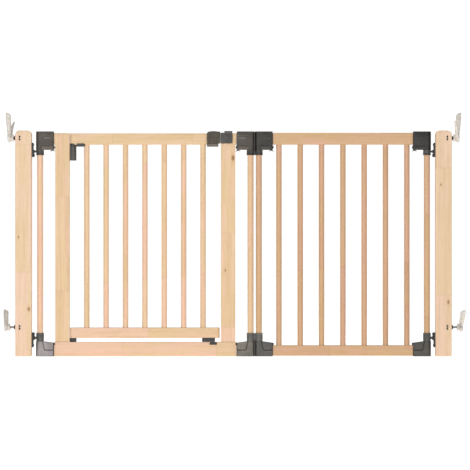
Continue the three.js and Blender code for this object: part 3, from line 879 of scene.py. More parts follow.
    def recessed(self, direction: Vector, border: float, depth: float) -> "Form":
        """Sinks a panel into the widest face that looks in a direction.

        Args:
            direction: The direction.
            border: Width of the rim that stays.
            depth: How deep the panel is sunk.

        Returns:
            The form.
        """
        faces = [face for face in self.mesh.faces if face.normal.dot(direction) > 0.98]
        widest = max(faces, key=lambda face: face.calc_area())
        edge = {"use_boundary": True, "use_even_offset": True}
        bmesh.ops.inset_region(self.mesh, faces=[widest], thickness=border, depth=0.0, **edge)
        bmesh.ops.inset_region(self.mesh, faces=[widest], thickness=abs(depth) * 0.5, depth=-depth, **edge)
        return self

    def with_(self, *others: "Form") -> "Form":
        """Takes in other forms beside this one.

        Args:
            others: The forms.

        Returns:
            The form.
        """
        for other in others:
            spare = bpy.data.meshes.new("spare")
            other.mesh.to_mesh(spare)
            self.mesh.from_mesh(spare)
            bpy.data.meshes.remove(spare)
        return self

    def _stand_in(self) -> bpy.types.Object:
        """Gives the form as a temporary object, for modifiers to work on.

        Returns:
            The object.
        """
        mesh = bpy.data.meshes.new("spare")
        self.mesh.to_mesh(mesh)
        holder = bpy.data.objects.new("spare", mesh)
        bpy.context.scene.collection.objects.link(holder)
        return holder

    def _take(self, holder: bpy.types.Object, helpers: Sequence[bpy.types.Object] = ()) -> None:
        """Takes a temporary object's result as the form's mesh, and removes what was temporary.

        Args:
            holder: The object.
            helpers: The objects that its modifiers use.
        """
        graph = bpy.context.evaluated_depsgraph_get()
        result = bpy.data.meshes.new_from_object(holder.evaluated_get(graph))
        self.mesh.clear()
        self.mesh.from_mesh(result)
        bpy.data.meshes.remove(result)
        for spare in [holder, *helpers]:
            bpy.data.meshes.remove(spare.data)

    def cut(self, *tools: "Form") -> "Form":
        """Takes other forms away from this one.

        Args:
            tools: The forms.

        Returns:
            The form.
        """
        holder = self._stand_in()
        helpers = [tool._stand_in() for tool in tools]
        for helper in helpers:
            boolean = holder.modifiers.new("cut", "BOOLEAN")
            boolean.operation = "DIFFERENCE"
            boolean.solver = "EXACT"
            boolean.object = helper
        self._take(holder, helpers)
        bmesh.ops.dissolve_degenerate(self.mesh, dist=1e-4, edges=self.mesh.edges)
        return self

    def fused(self, voxel: float, passes: int) -> "Form":
        """Melts overlapping forms into one skin and smooths it.

        Args:
            voxel: The skin's mesh size.
            passes: How often it is smoothed.

        Returns:
            The form.
        """
        holder = self._stand_in()
        remesh = holder.modifiers.new("skin", "REMESH")
        remesh.mode = "VOXEL"
        remesh.voxel_size = voxel
        self._take(holder)
        every = {"use_axis_x": True, "use_axis_y": True, "use_axis_z": True}
        for _ in range(passes):
            bmesh.ops.smooth_vert(self.mesh, verts=self.mesh.verts, factor=0.5, **every)
        return self

    def piece(self, name: str, finish: Finish, body: str, *nodes: str) -> bpy.types.Object:
        """Turns the form into a finished piece of the gate.

        Args:
            name: The piece's name.
            finish: Its finish.
            body: The CAD body that it rides on.
            nodes: The CAD nodes that it stands for.

        Returns:
            The piece.
        """
        bmesh.ops.scale(self.mesh, vec=(MM, MM, MM), verts=self.mesh.verts)
        mesh = bpy.data.meshes.new(name)
        self.mesh.to_mesh(mesh)
        self.mesh.free()
        mesh.shade_smooth()
        mesh.set_sharp_from_angle(angle=SMOOTH_BELOW)
        mesh.materials.append(finish.material(f"{name}_finish"))
        made = bpy.data.objects.new(name, mesh)
        bpy.context.scene.collection.objects.link(made)
        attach(made, body)
        if nodes:
            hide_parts(*nodes)
        LOG.info("%s: %d faces on %s", name, len(mesh.polygons), body)
        return made


@dataclass(frozen=True)
class Place:
    """Where a sub-assembly's own frame stands: shifted along X, and turned half round for the right hand."""

    x: float
    turned: bool = False

    def put(self, form: Form) -> Form:
        """Moves a form from the sub-assembly's frame into the gate's."""
        turn = Matrix.Rotation(math.pi if self.turned else 0.0, 4, "Z")
        return form.moved(Matrix.Translation((self.x, 0.0, 0.0)) @ turn)


def knuckle(zs: Pair, lip_low: bool, bore: float = 11.3, ribs: int = 10) -> Form:
    """Makes a snap-on knuckle: a ribbed sleeve with a flared lip at one end.

    Args:
        zs: Its lowest and highest point.
        lip_low: Whether the lip is at the bottom.
        bore: Radius of its bore.
        ribs: Ribs round its waist.

    Returns:
        The knuckle about the Z axis.
    """
    low, high = zs
    lip, waist, foot = 3.1, 1.1, 2.5
    height = high - low
    flank = [(0.0, 0.0), (lip - 0.7, 0.0), (lip, 0.8), (lip - 0.1, 4.0), (lip - 0.7, 5.2), (waist, 6.6)]
    flank += [(waist, height * 0.66), (foot, height * 0.82), (foot, height - 0.5), (foot - 0.5, height)]
    profile = [(bore + wall, rise) for wall, rise in [*flank, (0.0, height)]]
    form = Form.turned(profile, ring=True, sides=64)
    for index in range(ribs):
        rib = Form.rod(1.3, (5.6, height * 0.74), sides=12).shifted(bore + waist + 0.35)
        form.with_(rib.moved(Matrix.Rotation(2 * math.pi * index / ribs, 4, "Z")))
    if not lip_low:
        form.upended().shifted(z=height)
    return form.shifted(z=low)


def ribs(xs: Sequence[float], half: float, face: float, proud: float, zs: Pair, ease: float) -> list[Form]:
    """Makes upright ribs on the front and back faces of a block.

    Args:
        xs: Their places along X.
        half: Half their width.
        face: How far the faces are from the middle.
        proud: How far the ribs stand out.
        zs: Their lowest and highest point.
        ease: The rounding of their edges.

    Returns:
        The ribs.
    """
    faces = [(direction * face - proud, direction * face + proud) for direction in BOTH_FACES]
    return [Form.block((x - half, x + half), ys, zs).eased(ease, 2) for ys in faces for x in xs]


# ---------------------------------------------------------------- clamp ends


@dataclass
class ClampEnd:
    """One end of the gate: post, wall brackets, nuts, spindles and banister claws.

    In its own frame x = 0 is the post's face towards the gate, and the gate is at +x.
    """

    side: Side
    width: float = 59.0
    depth: float = 42.0
    corner: float = 16.0
    edge: float = 3.0
    slot_inset: float = 16.0
    slot_width: float = 6.0
    slot_height: float = 17.0
    nut_flats: float = 13.0
    spindle_radius: float = 4.0
    bore_length: float = 50.0
    lower_turn: float = 48.0
    standoff: float = 30.0
    plate: float = 5.6

    def __post_init__(self) -> None:
        """Finds the end's place from its post."""
        self.body = f"post_{self.side.value}"
        box = cad(self.body)
        turned = self.side is Side.RIGHT
        self.place = Place(box.x[0] if turned else box.x[1], turned)
        self.height = box.z[1]
        self.front = 1.0 if turned else -1.0
        self.seed = 2.3 if turned else 0.9

    def _z(self, level: Level) -> float:
        """Gives the height of a spindle."""
        return cad(self._name("clamp_nut", level)).middle().z

    def _name(self, kind: str, level: Level) -> str:
        """Gives the name of one of the end's fittings."""
        return f"{kind}_{self.side.value}_{level.value}"

    def _x(self, node: str) -> Pair:
        """Gives a node's extent along the end's own x, which the right hand turns round."""
        hand = -1.0 if self.place.turned else 1.0
        return span(*[(edge - self.place.x) * hand for edge in cad(node).x])

    def build(self) -> None:
        """Makes every piece of the end."""
        self.post()
        for level in Level:
            self.bracket(level)
            self.captive_nut(level)
            self.clamp_nut(level)
            self.spindle(level)
            self.claw(level)

    def post(self) -> None:
        """Makes the post, with rounded shoulders, nut slots and spindle bores."""
        shoulder = self.height - self.corner
        right = [(x - self.corner, shoulder + z) for x, z in arc(self.corner, 0.0, 0.5, 10)]
        left = [(-self.width - x, z) for x, z in reversed(right)]
        outline = [(-self.width, 0.0), (0.0, 0.0), *right, *left]
        half = self.depth / 2
        form = Form.extruded(outline, (-half, half)).stood().eased(self.edge, 5, above=60)
        tools = []
        slot_x = self.slot_inset - self.width
        for level in Level:
            z = self._z(level)
            ys = span(self.front * (half + 1), -self.front * self.nut_flats / 2)
            xs = (slot_x - self.slot_width / 2, slot_x + self.slot_width / 2)
            tools.append(Form.block(xs, ys, (z - self.slot_height / 2, z + self.slot_height / 2)))
            bore = (-self.width - 1, self.bore_length - self.width)
            tools.append(Form.rod(self.spindle_radius + FIT, bore, ALONG_X, 24).shifted(z=z))
        form.cut(*tools)
        face = -half * MM
        shown = self.place.x * MM
        if self.side is Side.LEFT:
            knots = (Knot(shown - 0.010, face, 0.171, 0.0052), Knot(shown - 0.047, face, 0.43, 0.003))
        else:
            knots = (Knot(shown + 0.046, face, 0.196, 0.0048), Knot(shown + 0.020, face, 0.62, 0.003))
        staves = {"slot": "wood_post", "stave": 0.46, "lamella": 0.031, "knots": knots}
        wood = Beech(POST_BEECH, Grain.UPRIGHT, self.seed, **staves)
        self.place.put(form).piece(f"{self.body}_wood", wood, self.body, self.body)

    def bracket(self, level: Level) -> None:
        """Makes a wall bracket: screwed plate, tapering boss and knuckle.

        Args:
            level: Which of the post's two.
        """
        node = self._name("wall_bracket", level)
        zs = cad(node).z
        upper = level is Level.UPPER
        outline = rounded(rectangle((-15.0, 15.0), zs), 5.0)
        plate = Form.extruded(outline, (0.0, 5.7)).eased(1.1, 3, above=60)
        plate.moved(Matrix.Rotation(math.pi / 2, 4, "Z") @ UPRIGHT).shifted(x=FIT)
        middle = zs[0] + (20.5 if upper else 34.0)
        spread = 8.5 if upper else 12.0
        taper = [(4.0, spread), (10.0, spread * 0.55), (17.4, 2.6)]
        wedge = [(x, middle - rise) for x, rise in taper]
        wedge += [(x, middle + rise) for x, rise in reversed(taper)]
        boss = Form.extruded(rounded(wedge, 2.5), (-7.0, 7.0)).stood().eased(1.4, 3, above=60)
        cup_z = zs[0] + 6.5 if upper else zs[1] - 6.5
        cup = [(0.0, 0.0), (6.4, 0.0), (6.4, 3.4), (5.6, 4.2), (4.9, 4.2), (4.9, 2.6), (0.0, 2.6)]
        socket = Form.turned(cup, sides=40).moved(ALONG_X).shifted(x=self.plate, z=cup_z)
        plastic = MouldedNylon(screen(42, 40, 37), self.seed, 0.4)
        self.place.put(plate.with_(boss, socket)).piece(f"{node}_moulding", plastic, self.body, node)
        shade = screen(66, 64, 59) if upper else screen(80, 79, 74)
        plastic = MouldedNylon(shade, self.seed + 1.0, 0.4)
        ring = knuckle(cad(f"middle_link_{level.value}").z, upper).shifted(x=self.standoff)
        self.place.put(ring).piece(f"{node}_sleeve", plastic, self.body)
        self.screw(f"{node}_screw_1", cup_z, 2.4)
        self.screw(f"{node}_screw_2", zs[1] - 7.5 if upper else zs[0] + 7.5, 0.0)

    def screw(self, name: str, z: float, proud: float) -> None:
        """Makes a pan-head screw with a cross recess.

        Args:
            name: The piece's name.
            z: Its height.
            proud: How far it sits out from the plate.
        """
        profile = [(0.0, 0.0), (4.4, 0.0), (4.6, 0.6), (4.1, 1.7), (2.6, 2.7), (0.0, 3.0)]
        head = Form.turned(profile, sides=32)
        bar, slit = (-2.2, 2.2), (-0.5, 0.5)
        cross = [Form.block(xs, ys, (1.4, 4.0)) for xs, ys in ((bar, slit), (slit, bar))]
        head.cut(*cross).moved(ALONG_X).shifted(x=FIT + self.plate + proud, z=z)
        self.place.put(head).piece(name, ZincSteel(z), self.body)

    def _hexagon(self, xs: Pair, flats: float) -> Form:
        """Makes a bored hexagon along X, with eased corners, from its ends and its width over flats."""
        form = Form.rod(flats / math.sqrt(3), xs, ALONG_X, 6).eased(0.7, 2, above=20)
        return form.cut(Form.rod(self.spindle_radius + FIT, (xs[0] - 1, xs[1] + 1), ALONG_X, 32))

    def captive_nut(self, level: Level) -> None:
        """Makes the nut that shows in the post's slot.

        Args:
            level: Which of the post's two.
        """
        slot_x = self.slot_inset - self.width
        form = self._hexagon((slot_x - 2.6, slot_x + 2.6), self.nut_flats - 0.6).shifted(z=self._z(level))
        self.place.put(form).piece(self._name("captive_nut", level), ZincSteel(1.3), self.body)

    def clamp_nut(self, level: Level) -> None:
        """Makes the flanged nut that tightens the claw from the post's outer face.

        Args:
            level: Which of the post's two.
        """
        node = self._name("clamp_nut", level)
        low, high = self._x(node)
        bore = self.spindle_radius + FIT
        rim = [(9.2, 0.0), (9.5, 0.4), (9.4, 1.2), (8.4, 1.9), (7.7, 3.2), (7.0, 4.0)]
        flange = Form.turned([(bore, 0.0), *rim, (bore, 4.2)], ring=True)
        form = flange.moved(ALONG_X.inverted()).shifted(x=high)
        form.with_(self._hexagon((low, high - 1.0), self.nut_flats)).shifted(z=self._z(level))
        self.place.put(form).piece(f"{node}_turned", BlackSteel(low), self.body, node)

    def spindle(self, level: Level) -> None:
        """Makes the threaded spindle.

        Args:
            level: Which of the post's two.
        """
        node = self._name("spindle", level)
        low, high = self._x(node)
        form = Form.threaded(self.spindle_radius, high - low).shifted(x=low, z=self._z(level))
        self.place.put(form).piece(f"{node}_thread", ZincSteel(low), node, node)

    def claw(self, level: Level) -> None:
        """Makes the two-pronged claw that presses on the banister, as one smooth moulding.

        Args:
            level: Which of the post's two.
        """
        node = self._name("claw", level)
        hub = [(0.0, -22.0), (11.0, -22.0), (14.6, -21.2), (16.0, -18.5), (15.6, -13.5), (13.6, -10.6),
               (10.4, -9.0), (9.4, -7.6), (10.2, -6.4), (13.3, -5.6), (13.4, -1.0), (12.4, -0.2), (0.0, -0.2)]
        form = Form.turned(hub, sides=40).moved(ALONG_X)
        arm = [(-7.0, -21.0, -11.0, 11.0), (10.0, -22.0, -8.6, 9.0), (24.0, -23.6, -7.2, 7.9),
               (40.0, -25.2, -7.6, 7.6), (51.0, -26.4, -8.8, 7.6), (59.0, -27.0, -10.2, 7.8),
               (67.0, -27.6, -9.2, 8.0), (75.0, -28.0, -8.6, 7.8), (82.0, -28.1, -10.2, 7.0),
               (88.0, -28.1, -15.0, 5.2), (91.6, -27.8, -22.0, 2.4)]
        ovals = [(Vector(((x0 + x1) / 2, 0.0, z)), (x1 - x0) / 2, half) for z, x0, x1, half in arm]
        form.with_(Form.swept(ovals, STILL, 24))
        lean = Matrix.Rotation(-math.pi / 4, 4, "X")
        prong = [(0.0, -13.0, 6.6), (20.0, -11.0, 6.0), (40.0, -9.2, 5.4), (58.0, -7.2, 4.8),
                 (72.0, -4.8, 4.2), (80.0, -3.0, 3.7), (84.4, -1.9, 2.8), (86.0, -1.4, 1.4)]
        reach = [(lean @ Vector((x, 0.0, along)), radius, radius) for along, x, radius in prong]
        form.with_(Form.swept(reach, lean, 20)).fused(0.95, 6)
        dents = [self._dent(y) for y in (-8.6, 8.6)]
        rings = [Form.turned(rectangle((radius, radius + 0.9), (-1.0, 1.0)), True, 40).moved(ALONG_X)
                 for radius in (5.6, 8.2, 10.8)]
        bore = Form.rod(self.spindle_radius + FIT, (-15.0, 2.0), ALONG_X, 32)
        form.cut(*dents, *[ring.shifted(x=-22.6) for ring in rings], bore)
        turn = math.radians(-self.lower_turn) if level is Level.LOWER else 0.0
        low, high = self._x(node)
        form.moved(Matrix.Rotation(turn, 4, "X")).shifted(x=high, z=self._z(level))
        self.place.put(form).piece(f"{node}_moulding", PaleNylon(screen(214, 207, 198), low), node, node)

    def _dent(self, y: float) -> Form:
        """Makes the tool of an oval that is pressed into the claw's head.

        Args:
            y: Its place across the head.

        Returns:
            The tool.
        """
        ball = Form()
        bmesh.ops.create_uvsphere(ball.mesh, u_segments=24, v_segments=14, radius=1.0)
        ball.moved(Matrix.Diagonal((4.6, 3.2, 7.5, 1.0)))
        return ball.shifted(-17.0, y, 74.0)


# ---------------------------------------------------------------- corners and links


@dataclass
class Corners:
    """The four moulded corner connectors of an element, and its two dowels.

    In a connector's own frame x = 0 is the dowel's axis, and the rail is at +x.
    """

    element: str
    body: str
    radius: float = 14.85
    reach: float = 50.0
    clip_height: float = 16.0
    lid: float = 5.6
    fall: float = 5.0

    def build(self) -> None:
        """Makes every connector and dowel of the element."""
        for side in Side:
            dowel = cad(f"dowel_{self.element}_{side.value}")
            place = Place(dowel.middle().x, side is Side.RIGHT)
            self.upper(side, place)
            self.lower(side, place)
            self.dowel(side, dowel)

    def _name(self, side: Side, level: Level) -> str:
        """Gives a connector's CAD name."""
        return f"connector_{self.element}_{side.value}_{level.value}"

    def _plan(self, inset: float) -> Outline:
        """Gives the connector's plan, drawn in by an inset."""
        return half_round(self.radius - inset, self.reach - inset)

    def upper(self, side: Side, place: Place) -> None:
        """Makes an upper connector: capped body, snap strip with its diamond hook and a near-black core in
        the hook's recess as painted shade, and moulded dashes whose light tone is a painted highlight.

        Args:
            side: The element's end that it is on.
            place: Where its dowel stands.
        """
        node = self._name(side, Level.UPPER)
        base, top = cad(node).z
        seam = top - self.lid
        clip_top = base + self.clip_height
        form = Form.extruded(self._plan(0.0), (clip_top, seam)).eased(0.7, 2, above=60)
        form.with_(Form.extruded(self._plan(0.8), (seam - 1.5, seam + 1.5)))
        lid = Form.extruded(self._plan(0.0), (seam + 0.7, top)).eased(2.2, 4, above=60)
        strip_zs = (base + 0.4, clip_top - 1.6)
        strip = Form.block((6.0, self.reach - 3.0), self._between(1.1), strip_zs).eased(1.6, 4)
        collar = Form.rod(self.radius - 0.3, (base, clip_top + 1.0), sides=64, ease=0.8)
        neck = Form.block((4.0, self.reach - 4.0), self._between(3.0), (base + 2.0, base + 20.0))
        hook = [(37.5, base + 13.0), (43.0, base + 21.5), (49.4, base + 18.8), (54.4, base + 10.0),
                (49.6, base + 1.0), (45.4, base - 3.6), (41.6, base + 1.6)]
        diamond = Form.extruded(rounded(hook, 2.2), self._between(0.6)).stood()
        for direction in BOTH_FACES:
            diamond.recessed(Vector((0.0, direction, 0.0)), 2.4, 4.5)
        # The hook's core is a near-black plug set in its recess: painted shade for the shadow inside the
        # recess.
        heart = Vector((46.2, base + 9.0))
        inner = [tuple(heart + (Vector(corner) - heart) * 0.7) for corner in hook]
        core = Form.extruded(rounded(inner, 1.4), self._between(2.0)).stood()
        shade = self._shade(side)
        plastic = MouldedNylon(shade, place.x * 0.001, 0.4)
        place.put(form.with_(lid, collar, neck)).piece(f"{node}_moulding", plastic, self.body, node)
        clip = strip.with_(diamond.eased(0.6, 2, above=60))
        plastic = MouldedNylon(toned(shade, 1.75), place.x * 0.002, 0.34)
        place.put(clip).piece(f"{node}_clip", plastic, self.body)
        # Near-black core in the hook's recess: painted shade.
        plastic = MouldedNylon(screen(34, 34, 31), place.x * 0.004, 0.5)
        place.put(core).piece(f"{node}_hook_painted_shade", plastic, self.body)
        # The dashes' light tone is a painted highlight along the raised bars.
        plastic = MouldedNylon(toned(shade, 2.9), place.x * 0.003, 0.34)
        place.put(self._dashes_painted_highlight(base + 43.0)).piece(f"{node}_dashes_painted_highlight", plastic, self.body)

    def _between(self, inset: float) -> Pair:
        """Gives the connector's depth, drawn in by an inset from both faces."""
        return (inset - self.radius, self.radius - inset)

    def _shade(self, side: Side) -> Colour:
        """Gives an upper connector's colour, which is darker towards the right end.

        Args:
            side: The element's end that the connector is on.

        Returns:
            The colour.
        """
        if self.element == "panel":
            return screen(34, 31, 25) if side is Side.LEFT else screen(18, 16, 11)
        return DARK

    def _dashes_painted_highlight(self, z: float) -> Form:
        """Makes the moulded dashes on the connector's two broad faces, with a finer line over each; the bars
        are real, and their light tone is a painted highlight.

        Args:
            z: The dashes' height.

        Returns:
            The dashes and lines.
        """
        made = Form()
        for direction in BOTH_FACES:
            face = direction * self.radius
            for xs, middle, half, proud in (((17.0, 41.0), z, 2.1, 0.8), ((8.0, 46.0), z + 9.0, 0.4, 0.3)):
                ys = span(face - direction * 0.8, face + direction * proud)
                bar = Form.block(xs, ys, (middle - half, middle + half))
                made.with_(bar.eased(min(half, proud) * 0.8, 3))
        return made

    def _slope(self, x: float, top: float) -> float:
        """Gives the height of a lower connector's sloping top at x."""
        return top - self.fall * max(0.0, x - self.radius) / (self.reach - self.radius)

    def lower(self, side: Side, place: Place) -> None:
        """Makes a lower connector: sloping top, an L-shaped snap cover on each face, and its dark stops.

        Args:
            side: The element's end that it is on.
            place: Where its dowel stands.
        """
        node = self._name(side, Level.LOWER)
        top = cad(node).z[1]
        seam = top - 33.0
        far = self.reach + 20.0
        over = top + 5.0
        wide = (-20.0, 20.0)
        wedge = [(self.radius, top), (far, self._slope(far, top)), (far, over), (self.radius, over)]
        brow = top + 2.0
        window = rounded([(self.radius / 2, brow), (self.radius, seam), (far, seam), (far, brow)], 6.0)
        form, shell = [Form.extruded(self._plan(0.0), (0.0, top)) for _ in range(2)]
        for solid in (form, shell):
            solid.cut(Form.extruded(wedge, wide).stood()).eased(1.6, 3, above=50)
        near, rim, base = -9.6, self.reach - 2.2, 1.6
        shell.cut(Form.block((near, rim), wide, (base, over)))
        edges = (((-20.0, near), (-1.0, over)), ((rim, far), (-1.0, over)), ((-20.0, far), (-1.0, base)))
        form.cut(*[Form.block(xs, wide, zs) for xs, zs in edges])
        recess = Form.extruded(window, (-2.4, 8.0)).stood().shifted(y=-self.radius)
        back = Form.extruded(window, (-8.0, 2.4)).stood().shifted(y=self.radius)
        form.cut(recess, back)
        end = self.reach - 2.6
        cover = [(self.radius / 2 + 3.4, top - 0.8), (self.radius + 2.6, seam + 3.4), (end, seam + 3.4),
                 (end, self._slope(end, top) - 1.0), (self.radius, top - 1.0)]
        # The floor outline gives near-black sheets that lie under the cover plates: painted shade, standing
        # in for the shadow in the L-shaped groove round each cover.
        floor = [(self.radius / 2 - 0.4, top - 1.6), (self.radius - 0.4, seam - 0.4), (end, seam - 0.4),
                 (end, self._slope(end, top) - 1.8), (self.radius, top - 1.8)]
        painted_groove_shade = Form()
        for direction in BOTH_FACES:
            plate = Form.extruded(rounded(cover, 4.0), (-1.2, 1.2)).stood().eased(0.6, 3, above=60)
            form.with_(plate.shifted(y=direction * (self.radius - 1.4)))
            groove_shade_sheet = Form.extruded(rounded(floor, 5.0), (-0.2, 0.2)).stood()
            painted_groove_shade.with_(groove_shade_sheet.shifted(y=direction * (self.radius - 2.2)))
        colour = self._low_shade(side)
        plastic = MouldedNylon(colour, place.x * 0.003, 0.36)
        place.put(form).piece(f"{node}_moulding", plastic, self.body, node)
        casing = MouldedNylon(screen(62, 59, 56), place.x * 0.005, 0.42)
        place.put(shell).piece(f"{node}_shell", casing, self.body)
        # Near-black sheets in the groove: painted shade.
        place.put(painted_groove_shade).piece(f"{node}_liner", MouldedNylon(toned(colour, 0.22), 0.9, 0.6), self.body)
        stops = Form()
        for direction in BOTH_FACES:
            ys = span(direction * 11.4, direction * 14.3)
            ends = (top - self.fall - 9.0, top - self.fall - 0.4)
            stops.with_(Form.block((45.6, 53.8), ys, ends).eased(1.1, 3))
        place.put(stops).piece(f"{node}_stops", MouldedNylon(screen(28, 27, 25), 0.4, 0.5), self.body)

    def _low_shade(self, side: Side) -> Colour:
        """Gives a lower connector's colour, lighter than the upper ones'.

        Args:
            side: The element's end that the connector is on.

        Returns:
            The colour.
        """
        if self.element == "door":
            return LILAC_GREY if side is Side.LEFT else MID_GREY
        return screen(78, 76, 73) if side is Side.LEFT else screen(66, 63, 57)

    def dowel(self, side: Side, box: Box) -> None:
        """Makes a dowel that the element turns on.

        Args:
            side: The element's end that it is at.
            box: Its CAD box.
        """
        radius = (box.x[1] - box.x[0]) / 2
        x = box.middle().x
        form = Form.rod(radius, box.z, sides=64, ease=0.8).shifted(x=x)
        tone = RUBBED_BEECH if self.element == "panel" else SLAT_BEECH
        name = f"dowel_{self.element}_{side.value}"
        wood = Beech(tone, Grain.UPRIGHT, x * 0.013, "wood_dowel", 0.37)
        form.piece(f"{name}_wood", wood, self.body, name)


@dataclass
class MiddleLink:
    """The two links that join the door element to the panel round their middle dowels."""

    web: float = 12.0

    def build(self) -> None:
        """Makes both links."""
        first = cad("dowel_door_right").middle().x
        second = cad("dowel_panel_left").middle().x
        for level in Level:
            node = f"middle_link_{level.value}"
            zs = cad(node).z
            upper = level is Level.UPPER
            form = knuckle(zs, upper).shifted(x=first).with_(knuckle(zs, upper).shifted(x=second))
            xs = (first + 11.9, second - 11.9)
            ys = (-self.web / 2, self.web / 2)
            block = Form.block(xs, ys, (zs[0] + 1.5, zs[1] - 1.5)).eased(1.2, 3)
            shade = screen(48, 47, 43) if upper else screen(92, 91, 87)
            form.with_(block).piece(f"{node}_moulding", MouldedNylon(shade, 0.7, 0.4), "middle_link", node)
            self.gap_shade_strips(node, (first + second) / 2, upper)

    def gap_shade_strips(self, node: str, x: float, upper: bool) -> None:
        """Closes the slot between the two connectors with a dark strip on each face: painted shade for the
        shadow in the gap.

        Args:
            node: The link's CAD name.
            x: The middle of the slot.
            upper: Whether the link is the upper one.
        """
        half, inner = (1.6, 8.5) if upper else (2.6, 9.6)
        link = cad(node).z
        top = cad("connector_door_right_upper").z[1] - 2.0
        zs = (link[1] - 1.0, top) if upper else (1.0, link[0] + 1.0)
        made = Form()
        foot = (link[1] - 3.0, link[1]) if upper else (link[0], link[0] + 3.0)
        for direction in BOTH_FACES:
            for depth, ends in ((inner, zs), (4.0, foot)):
                ys = span(direction * depth, direction * 13.2)
                made.with_(Form.block((x - half, x + half), ys, ends).eased(0.5, 2))
        made.piece(f"{node}_strips", MouldedNylon(screen(44, 42, 39), 0.2, 0.5), "middle_link")


# ---------------------------------------------------------------- door frame


